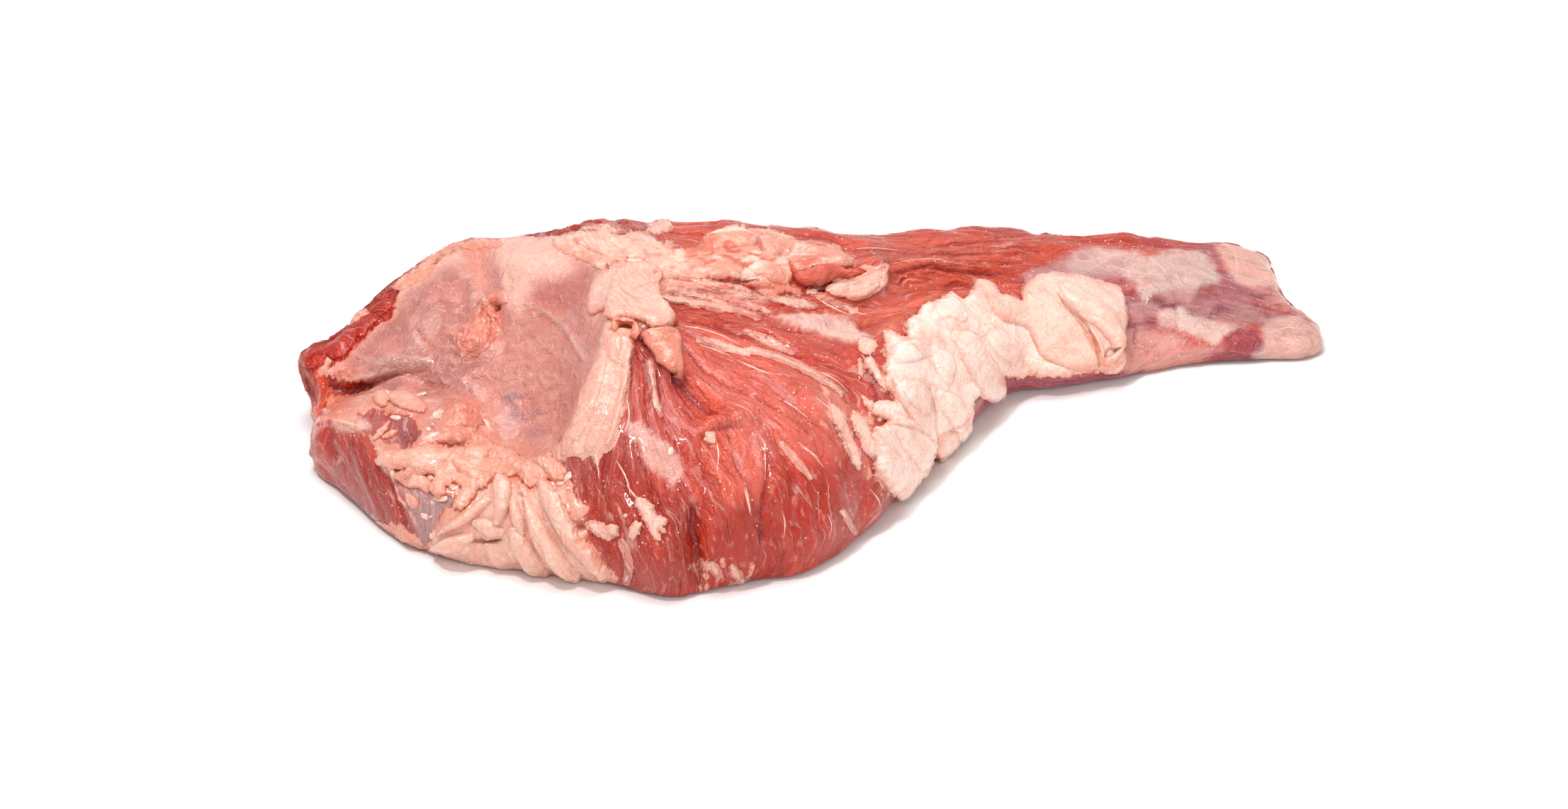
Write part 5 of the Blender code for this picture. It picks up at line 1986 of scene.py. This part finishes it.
         941, 752, 929, 750, 931, 762, 920, 757, 914, 744, 906, 730, 898, 716), path(890, 745, 898, 736,
         906, 740, 902, 754, 894, 762, 888, 756), path(858, 742, 873, 744, 872, 756, 858, 756),
         path(825, 736, 846, 738, 866, 752, 862, 764, 844, 758, 828, 748), path(996, 612, 1006, 610,
         1012, 622, 1004, 628, 996, 620)),
        shade="#F5D3C6", thickness=0.9, edge=0.25, round_width=7, ragged=5.0, lump=0.8, lump_size=3.0,
        sink=0.8, seed=20, fade=1.0,
    ),
    # Thin white streaks of fat between the muscle bundles.
    TissueSheet(
        "top_stripes",
        (strip(path(935, 394, 960, 400, 985, 404), 2.3), strip(path(962, 392, 1000, 401, 1030, 409), 2.6),
         strip(path(1000, 398, 1035, 404, 1060, 413), 2.6), strip(path(958, 410, 990, 416, 1015, 420), 2.3),
         strip(path(1018, 411, 1034, 414, 1048, 418), 2.3), strip(path(1032, 426, 1060, 432, 1085, 440),
         2.3), strip(path(931, 420, 960, 424, 991, 430, 1020, 434, 1044, 438, 1070, 449), 3.0),
         strip(path(942, 408, 970, 414, 1000, 422, 1024, 430), 2.6), strip(path(1024, 421, 1050, 417,
         1083, 417, 1116, 426, 1149, 432), 3.6), strip(path(1070, 406, 1095, 402, 1123, 410), 4.0),
         strip(path(1143, 411, 1160, 418, 1175, 425, 1205, 438), 2.0), strip(path(945, 398, 970, 400,
         992, 406), 2.6)),
        shade="#EDB0A1", thickness=0.4, edge=0.06, round_width=5, ragged=5.0, lump=0.5, seed=27, fade=3.5,
        blush_rim=False,
    ),
    TissueSheet(
        "fan_streaks",
        (strip(path(986, 480, 1005, 484, 1030, 492, 1057, 499), 2.6), strip(path(1052, 494, 1080, 499,
         1110, 508, 1149, 528, 1172, 542, 1189, 555), 2.1), strip(path(1103, 627, 1115, 640, 1125, 652,
         1143, 674), 2.6), strip(path(1052, 468, 1085, 482, 1118, 498), 2.6), strip(path(917, 510, 919, 530,
         922, 552, 928, 575, 933, 587), 2.4), strip(path(876, 765, 885, 780, 888, 800, 884, 822), 2.0),
         strip(path(1004, 796, 1010, 804, 1016, 814), 4.0), strip(path(1032, 800, 1040, 810, 1046, 820),
         4.0), strip(path(1189, 722, 1198, 738, 1206, 752), 2.2)),
        shade="#EDB2A4", thickness=0.4, edge=0.06, round_width=5, ragged=2.8, lump=0.3, seed=28, fade=4.0,
        blush_rim=False,
    ),
    TissueSheet(
        "left_bits",
        (strip(path(551, 596, 543, 606, 528, 622), 5.0), strip(path(562, 609, 552, 614, 538, 620), 4.5),
         path(548, 560, 560, 554, 578, 556, 592, 566, 602, 578, 590, 582, 572, 578, 556, 572),
         path(528, 560, 540, 552, 548, 562, 544, 573, 532, 572), path(565, 678, 584, 666, 602, 676,
         610, 688, 604, 698, 592, 690, 578, 690), path(573, 694, 586, 700, 592, 714, 582, 716, 574, 706)),
        shade="#F2BFAE", thickness=1.4, edge=0.4, round_width=7, ragged=3.0, lump=0.8, lump_size=4.0,
        sink=0.8, seed=21,
    ),
)


@dataclass(frozen=True)
class Strand:
    """A pale strand on the meat: its line in the photograph and its width in millimetres."""

    path: Path
    width: float


STRANDS: tuple[Strand, ...] = (
    Strand(path(1080, 500, 1128, 515, 1176, 534, 1197, 553), 1.0),
    Strand(path(988, 486, 1010, 494, 1031, 502), 0.9),
    Strand(path(1040, 508, 1074, 523, 1090, 528), 0.9),
    Strand(path(1000, 398, 1030, 408, 1060, 414), 1.0),
    Strand(path(1126, 624, 1146, 640, 1162, 659), 0.8),
    Strand(path(1141, 411, 1168, 430, 1205, 447), 0.9),
    Strand(path(1160, 424, 1190, 436, 1230, 446), 0.8),
    Strand(path(1196, 352, 1233, 350, 1276, 354), 0.5),
    Strand(path(1251, 374, 1279, 368, 1313, 365, 1343, 370, 1374, 376), 0.45),
    Strand(path(918, 514, 918, 544, 924, 568, 933, 588), 1.1),
    Strand(path(1050, 690, 1056, 710, 1058, 724), 0.8),
    Strand(path(870, 650, 884, 676, 890, 700), 0.9),
    Strand(path(884, 684, 894, 698, 903, 708), 0.8),
    Strand(path(838, 624, 842, 650, 846, 676), 0.9),
    Strand(path(1228, 690, 1240, 706, 1244, 722), 0.7),
    Strand(path(1216, 500, 1236, 528, 1252, 546), 1.0),
    Strand(path(1178, 570, 1196, 600, 1206, 636), 1.0),
    Strand(path(470, 592, 496, 598, 520, 606), 0.8),
    Strand(path(470, 478, 482, 488, 488, 500), 0.7),
    Strand(path(962, 460, 990, 464, 1020, 474, 1044, 486), 0.8),
    Strand(path(1078, 622, 1080, 650, 1080, 680), 0.7),
    Strand(path(1050, 679, 1056, 704, 1060, 728), 0.8),
    Strand(path(1129, 630, 1144, 638, 1157, 647), 0.7),
    Strand(path(1010, 616, 1014, 640, 1012, 664), 0.6),
    Strand(path(1096, 560, 1120, 574, 1140, 590), 0.7),
    Strand(path(1150, 560, 1168, 574, 1182, 590), 0.8),
    Strand(path(885, 560, 888, 590, 880, 612), 0.7),
    Strand(path(866, 636, 872, 616, 882, 596), 0.9),
    Strand(path(1104, 720, 1108, 740, 1106, 760), 0.6),
    Strand(path(1168, 726, 1174, 742, 1170, 760), 0.7),
    Strand(path(1740, 350, 1746, 372, 1744, 396), 0.6),
    Strand(path(1560, 372, 1600, 384, 1650, 388), 0.6),
    Strand(path(1620, 362, 1640, 378, 1650, 396), 0.6),
    Strand(path(1610, 410, 1620, 420, 1616, 432), 0.7),
    Strand(path(1662, 432, 1668, 446, 1664, 464), 1.2),
    Strand(path(1790, 470, 1820, 462, 1850, 470), 0.6),
)


def node_group(name: str, sockets: dict[str, float]) -> bpy.types.NodeTree:
    """Starts a geometry tree with a shape going in and out and named numbers.

    Args:
        name: The tree's name.
        sockets: Default value of each named number.

    Returns:
        The tree.
    """
    tree = bpy.data.node_groups.new(name, "GeometryNodeTree")
    tree.interface.new_socket("Shape", in_out="INPUT", socket_type="NodeSocketGeometry")
    tree.interface.new_socket("Shape", in_out="OUTPUT", socket_type="NodeSocketGeometry")
    for key, value in sockets.items():
        kind = "NodeSocketInt" if isinstance(value, int) else "NodeSocketFloat"
        tree.interface.new_socket(key, in_out="INPUT", socket_type=kind).default_value = value
    return tree


def run_tree(
    source: bpy.types.Object, tree: bpy.types.NodeTree, inputs: dict[str, float], name: str
) -> bpy.types.Object:
    """Runs a geometry tree on an object and keeps the result as a plain mesh piece.

    Args:
        source: The object that goes in, which is removed.
        tree: The geometry tree.
        inputs: Values by socket name.
        name: The new piece's name.

    Returns:
        The piece.
    """
    modifier = source.modifiers.new(name, "NODES")
    modifier.node_group = tree
    for item in tree.interface.items_tree:
        if item.in_out == "INPUT" and item.name in inputs:
            modifier[item.identifier] = inputs[item.name]
    graph = bpy.context.evaluated_depsgraph_get()
    mesh = bpy.data.meshes.new_from_object(source.evaluated_get(graph), depsgraph=graph)
    source.modifiers.clear()
    bpy.data.objects.remove(source)
    mesh.name = name
    piece = bpy.data.objects.new(name, mesh)
    bpy.context.scene.collection.objects.link(piece)
    return piece


@dataclass(frozen=True)
class WetFinish:
    """A plain wet finish for sinew and for beads of moisture."""

    # Sinew is collagen, smooth and faintly see-through, and gives the eye a pearly thread; a bead of juice
    # gives it one sharp glint.
    name: str
    shade: str
    dark_mottle: str
    roughness: float
    coat: float
    coat_roughness: float = 0.1
    glow: float = 0.15
    glow_depth: float = 0.002
    mottle_scale: float = 260.0
    bump: float = 0.0003

    def build(self) -> bpy.types.Material:
        """Makes the material, mottled between its two shades.

        Returns:
            The material.
        """
        material = bpy.data.materials.new(self.name)
        material.use_nodes = True
        tree = material.node_tree
        shader = tree.nodes["Principled BSDF"]
        place = add_node(tree, "ShaderNodeTexCoord").outputs["Object"]
        mottle = add_node(
            tree, "ShaderNodeTexNoise", {"Scale": self.mottle_scale, "Detail": 3.0}, {"Vector": place}
        )
        blend = add_node(
            tree,
            "ShaderNodeMix",
            {"data_type": "RGBA", 6: colour(self.dark_mottle), 7: colour(self.shade)},
            {0: mottle.outputs[0]},
        )
        tree.links.new(blend.outputs[2], shader.inputs["Base Color"])
        bump = add_node(
            tree, "ShaderNodeBump", {"Strength": 0.4, "Distance": self.bump}, {"Height": mottle.outputs[0]}
        )
        tree.links.new(bump.outputs[0], shader.inputs["Normal"])
        shader.inputs["Roughness"].default_value = self.roughness
        shader.inputs["Coat Weight"].default_value = self.coat
        shader.inputs["Coat Roughness"].default_value = self.coat_roughness
        shader.inputs["Subsurface Weight"].default_value = self.glow
        shader.inputs["Subsurface Scale"].default_value = self.glow_depth
        return material


@dataclass
class SinewThreads:
    """Pale sinew strands that lie half sunk along the fibres, swept along their paths."""

    sides: int = 8
    wobble: float = 0.25
    sunk: float = 0.62

    def tree(self, material: bpy.types.Material) -> bpy.types.NodeTree:
        """The geometry tree: resample, sweep a ring, roughen, realize and dress.

        Args:
            material: The finish that the pieces get.

        Returns:
            The tree.
        """
        tree = node_group(
            "sinew_threads", {"Spacing": 0.0012, "Wobble": self.wobble * MM, "Sides": self.sides}
        )
        into = add_node(tree, "NodeGroupInput").outputs
        curve = add_node(
            tree,
            "GeometryNodeResampleCurve",
            {"mode": "LENGTH"},
            {"Curve": into["Shape"], "Length": into["Spacing"]},
        )
        ring = add_node(
            tree, "GeometryNodeCurvePrimitiveCircle", {"Radius": MM}, {"Resolution": into["Sides"]}
        )
        radius = add_node(tree, "GeometryNodeInputRadius").outputs[0]
        swept = add_node(
            tree,
            "GeometryNodeCurveToMesh",
            {"Fill Caps": True},
            {"Curve": curve.outputs[0], "Profile Curve": ring.outputs[0], "Scale": radius},
        )
        noise = add_node(tree, "ShaderNodeTexNoise", {"Scale": 420.0, "Detail": 2.0})
        centred = add_node(
            tree,
            "ShaderNodeVectorMath",
            {"operation": "SUBTRACT", 1: (0.5, 0.5, 0.5)},
            {0: noise.outputs[1]},
        )
        moved = add_node(
            tree,
            "ShaderNodeVectorMath",
            {"operation": "SCALE"},
            {0: centred.outputs[0], "Scale": into["Wobble"]},
        )
        rough = add_node(
            tree,
            "GeometryNodeSetPosition",
            None,
            {"Geometry": swept.outputs[0], "Offset": moved.outputs[0]},
        )
        smooth = add_node(tree, "GeometryNodeSetShadeSmooth", None, {"Geometry": rough.outputs[0]})
        real = add_node(tree, "GeometryNodeRealizeInstances", None, {"Geometry": smooth.outputs[0]})
        dressed = add_node(
            tree, "GeometryNodeSetMaterial", {"Material": material}, {"Geometry": real.outputs[0]}
        )
        add_node(tree, "NodeGroupOutput", None, {"Shape": dressed.outputs[0]})
        return tree

    def build(self, skin: Skin, tree: BVHTree, material: bpy.types.Material) -> bpy.types.Object:
        """Lifts every strand onto the body and sweeps it.

        Args:
            skin: The carved body; not used.
            tree: A search tree of its faces.
            material: The strands' finish.

        Returns:
            The piece.
        """
        data = bpy.data.curves.new("sinew_paths", "CURVE")
        data.dimensions = "3D"
        for strand in STRANDS:
            hits = [tree.ray_cast(*VIEW.ray(pixel)) for pixel in smooth_curve(strand.path, False, step=5)]
            hits = [hit for hit in hits if hit[0] is not None]
            spline = data.splines.new("POLY")
            spline.points.add(len(hits) - 1)
            for number, (point, hit) in enumerate(zip(spline.points, hits)):
                share = number / max(len(hits) - 1, 1)
                radius = strand.width / 2 * (0.2 + 0.8 * math.sin(math.pi * min(max(share, 0.03), 0.97)))
                place = (hit[0] - hit[1] * radius * self.sunk) * MM
                point.co = (*place, 1.0)
                point.radius = radius
        paths = bpy.data.objects.new("sinew_paths", data)
        bpy.context.scene.collection.objects.link(paths)
        inputs = {"Spacing": 0.0012, "Wobble": self.wobble * MM, "Sides": self.sides}
        return run_tree(paths, self.tree(material), inputs, "sinew_threads")


@dataclass
class MoistBeads:
    """Tiny beads of moisture scattered over the wet lean, which catch the light."""

    density: float = 46000.0
    smallest: float = 0.12
    largest: float = 0.34
    seed: int = 5

    def tree(self, material: bpy.types.Material) -> bpy.types.NodeTree:
        """The geometry tree: scatter, place flattened beads, realize and dress.

        Args:
            material: The finish that the pieces get.

        Returns:
            The tree.
        """
        tree = node_group(
            "moist_beads",
            {
                "Density": self.density,
                "Smallest": self.smallest * MM,
                "Largest": self.largest * MM,
                "Seed": self.seed,
            },
        )
        into = add_node(tree, "NodeGroupInput").outputs
        wet = add_node(
            tree, "GeometryNodeInputNamedAttribute", {"data_type": "FLOAT", "Name": "wet"}
        ).outputs[0]
        thick = add_node(
            tree, "ShaderNodeMath", {"operation": "MULTIPLY"}, {0: wet, 1: into["Density"]}
        ).outputs[0]
        spots = add_node(
            tree,
            "GeometryNodeDistributePointsOnFaces",
            None,
            {"Mesh": into["Shape"], "Density": thick, "Seed": into["Seed"]},
        )
        bead = add_node(tree, "GeometryNodeMeshIcoSphere", {"Radius": 1.0, "Subdivisions": 2})
        size = add_node(
            tree,
            "FunctionNodeRandomValue",
            {"data_type": "FLOAT"},
            {2: into["Smallest"], 3: into["Largest"], "Seed": into["Seed"]},
        ).outputs[1]
        flat = add_node(
            tree, "ShaderNodeVectorMath", {"operation": "SCALE", 0: (1.0, 1.0, 0.55)}, {"Scale": size}
        )
        placed = add_node(
            tree,
            "GeometryNodeInstanceOnPoints",
            None,
            {
                "Points": spots.outputs["Points"],
                "Instance": bead.outputs[0],
                "Rotation": spots.outputs["Rotation"],
                "Scale": flat.outputs[0],
            },
        )
        real = add_node(tree, "GeometryNodeRealizeInstances", None, {"Geometry": placed.outputs[0]})
        smooth = add_node(tree, "GeometryNodeSetShadeSmooth", None, {"Geometry": real.outputs[0]})
        dressed = add_node(
            tree, "GeometryNodeSetMaterial", {"Material": material}, {"Geometry": smooth.outputs[0]}
        )
        add_node(tree, "NodeGroupOutput", None, {"Shape": dressed.outputs[0]})
        return tree

    def build(
        self, body: bpy.types.Object, skin: Skin, fat: Array, material: bpy.types.Material
    ) -> bpy.types.Object:
        """Scatters the beads over the lean of the body.

        Args:
            body: The body piece.
            skin: Its arrays.
            fat: Signed fat distance of its vertices.
            material: The beads' finish.

        Returns:
            The piece.
        """
        copy = bpy.data.objects.new("bead_ground", body.data.copy())
        wet = smooth_step(-fat, -3.0, 1.0) * smooth_step(skin.normals()[:, 2], -0.1, 0.5)
        wet = wet * smooth_step(layered_noise(skin.points, 14, 77), -0.35, 0.5)
        store = copy.data.attributes.new("wet", "FLOAT", "POINT")
        store.data.foreach_set("value", wet.astype(np.float32))
        bpy.context.scene.collection.objects.link(copy)
        inputs = {
            "Density": self.density,
            "Smallest": self.smallest * MM,
            "Largest": self.largest * MM,
            "Seed": self.seed,
        }
        return run_tree(copy, self.tree(material), inputs, "moist_beads")


@dataclass
class FatCrumbs:
    """Torn crumbs and flakes of fat, scattered where the fat is frayed."""

    density: float = 60000.0
    smallest: float = 0.5
    largest: float = 1.9
    rough: float = 1.3
    seed: int = 11

    def tree(self, material: bpy.types.Material) -> bpy.types.NodeTree:
        """The geometry tree: scatter, place flattened lumps, realize, tear their shapes and dress.

        Args:
            material: The finish that the pieces get.

        Returns:
            The tree.
        """
        tree = node_group(
            "fat_crumbs", {"Density": 1.0, "Smallest": 0.001, "Largest": 0.002, "Tear": 0.001, "Seed": 1}
        )
        into = add_node(tree, "NodeGroupInput").outputs
        frayed = add_node(tree, "GeometryNodeInputNamedAttribute", {"data_type": "FLOAT", "Name": "frayed"})
        thick = add_node(
            tree, "ShaderNodeMath", {"operation": "MULTIPLY"}, {0: frayed.outputs[0], 1: into["Density"]}
        )
        spots = add_node(
            tree,
            "GeometryNodeDistributePointsOnFaces",
            None,
            {"Mesh": into["Shape"], "Density": thick.outputs[0], "Seed": into["Seed"]},
        )
        lump = add_node(tree, "GeometryNodeMeshIcoSphere", {"Radius": 1.0, "Subdivisions": 3})
        size = add_node(
            tree,
            "FunctionNodeRandomValue",
            {"data_type": "FLOAT"},
            {2: into["Smallest"], 3: into["Largest"], "Seed": into["Seed"]},
        ).outputs[1]
        long = add_node(
            tree,
            "FunctionNodeRandomValue",
            {"data_type": "FLOAT_VECTOR", 0: (0.8, 0.5, 0.3), 1: (2.0, 1.0, 0.5)},
        ).outputs[0]
        shape = add_node(tree, "ShaderNodeVectorMath", {"operation": "SCALE"}, {0: long, "Scale": size})
        turn = add_node(
            tree,
            "FunctionNodeRandomValue",
            {"data_type": "FLOAT_VECTOR", 0: (-0.3, -0.3, 0.0), 1: (0.3, 0.3, 6.28)},
        ).outputs[0]
        turned = add_node(
            tree,
            "FunctionNodeRotateRotation",
            {"rotation_space": "LOCAL"},
            {0: spots.outputs["Rotation"], 1: turn},
        )
        placed = add_node(
            tree,
            "GeometryNodeInstanceOnPoints",
            None,
            {
                "Points": spots.outputs["Points"],
                "Instance": lump.outputs[0],
                "Rotation": turned.outputs[0],
                "Scale": shape.outputs[0],
            },
        )
        real = add_node(tree, "GeometryNodeRealizeInstances", None, {"Geometry": placed.outputs[0]})
        noise = add_node(tree, "ShaderNodeTexNoise", {"Scale": 480.0, "Detail": 2.0})
        centred = add_node(
            tree,
            "ShaderNodeVectorMath",
            {"operation": "SUBTRACT", 1: (0.5, 0.5, 0.5)},
            {0: noise.outputs[1]},
        )
        moved = add_node(
            tree,
            "ShaderNodeVectorMath",
            {"operation": "SCALE"},
            {0: centred.outputs[0], "Scale": into["Tear"]},
        )
        torn = add_node(
            tree, "GeometryNodeSetPosition", None, {"Geometry": real.outputs[0], "Offset": moved.outputs[0]}
        )
        smooth = add_node(tree, "GeometryNodeSetShadeSmooth", None, {"Geometry": torn.outputs[0]})
        dressed = add_node(
            tree, "GeometryNodeSetMaterial", {"Material": material}, {"Geometry": smooth.outputs[0]}
        )
        add_node(tree, "NodeGroupOutput", None, {"Shape": dressed.outputs[0]})
        return tree

    def build(self, body: bpy.types.Object, skin: Skin, material: bpy.types.Material) -> bpy.types.Object:
        """Scatters the crumbs over the frayed areas.

        Args:
            body: The body piece.
            skin: Its arrays.
            material: The crumbs' finish.

        Returns:
            The piece.
        """
        at = VIEW.project(skin.points)
        facing = VIEW.facing(skin.points, skin.normals())
        frayed = np.zeros(len(at))
        for number, area in enumerate(FRAYED_AREAS):
            depth = inside_distance(at, area.outline, area.ragged, 500 + number)
            frayed = np.maximum(frayed, smooth_step(depth, -4, 6) * area.most)
        frayed *= smooth_step(facing, 0.1, 0.3)
        copy = bpy.data.objects.new("crumb_ground", body.data.copy())
        store = copy.data.attributes.new("frayed", "FLOAT", "POINT")
        store.data.foreach_set("value", frayed.astype(np.float32))
        bpy.context.scene.collection.objects.link(copy)
        inputs = {
            "Density": self.density,
            "Smallest": self.smallest * MM,
            "Largest": self.largest * MM,
            "Tear": self.rough * MM,
            "Seed": self.seed,
        }
        return run_tree(copy, self.tree(material), inputs, "fat_crumbs")


class Studio:
    """The plain pale floor and the soft lights."""

    floor_size: float = 6.0
    floor_shade: str = "#F7F6F5"
    world_strength: float = 0.6

    def add_floor(self) -> None:
        """A wide pale floor just under the meat."""
        work = bmesh.new()
        bmesh.ops.create_grid(work, x_segments=2, y_segments=2, size=self.floor_size / 2)
        mesh = bpy.data.meshes.new("studio_floor")
        work.to_mesh(mesh)
        work.free()
        floor = bpy.data.objects.new("studio_floor", mesh)
        floor.location.z = -0.0003
        material = bpy.data.materials.new("pale_floor")
        material.use_nodes = True
        shader = material.node_tree.nodes["Principled BSDF"]
        shader.inputs["Base Color"].default_value = colour(self.floor_shade)
        shader.inputs["Roughness"].default_value = 0.9
        mesh.materials.append(material)
        bpy.context.scene.collection.objects.link(floor)

    def add_light(self, name: str, place: tuple[float, float, float], size: float, power: float) -> None:
        """A square soft light that looks at the middle of the piece."""
        data = bpy.data.lights.new(name, "AREA")
        data.shape, data.size, data.energy = "SQUARE", size, power
        light = bpy.data.objects.new(name, data)
        light.location = place
        light.rotation_euler = Vector(place).to_track_quat("Z", "Y").to_euler()
        bpy.context.scene.collection.objects.link(light)

    def build(self) -> None:
        """Sets the floor, the lights and the even surroundings."""
        self.add_floor()
        self.add_light("overhead_softbox", (-0.1, 0.15, 1.3), 0.7, 10.0)
        self.add_light("glint_lamp", (-0.35, -0.35, 1.2), 0.12, 6.0)
        self.add_light("front_softbox", (0.9, -1.3, 0.8), 1.0, 7.0)
        world = bpy.data.worlds.new("studio_surroundings")
        world.use_nodes = True
        background = world.node_tree.nodes["Background"]
        background.inputs["Color"].default_value = (1, 1, 1, 1)
        background.inputs["Strength"].default_value = self.world_strength
        bpy.context.scene.world = world
        bpy.context.scene.view_settings.view_transform = "Standard"


def carry(piece: bpy.types.Object) -> None:
    """Lets a piece ride on the part's one body, and logs how many faces it has."""
    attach(piece, "root")
    LOG.info("%s: %d faces", piece.name, len(piece.data.polygons))


def main() -> None:
    """Builds the camera, the meat piece by piece, and the studio."""
    logging.basicConfig(level=logging.INFO, format="%(relativeCreated)d %(message)s")
    VIEW.add_camera()
    tissues = TissueMap()
    material = MeatFinish().build()
    skin, fat, body = BeefBody().build(material, tissues)
    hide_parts(NODE)
    carry(body)
    for sheet in SHEETS:
        carry(sheet.build(skin, tissues, material))
    sinew = WetFinish("wet_sinew", "#F6CFC3", "#E59A8B", 0.3, 0.4).build()
    carry(SinewThreads().build(skin, skin.tree(), sinew))
    torn_fat = WetFinish("torn_fat", "#F9D2C3", "#E8A18D", 0.34, 0.35).build()
    carry(FatCrumbs().build(body, skin, torn_fat))
    moisture = WetFinish("moisture", "#FBD3C8", "#F0A596", 0.08, 1.0).build()
    carry(MoistBeads().build(body, skin, fat, moisture))
    Studio().build()


if __name__ == "__main__":
    main()
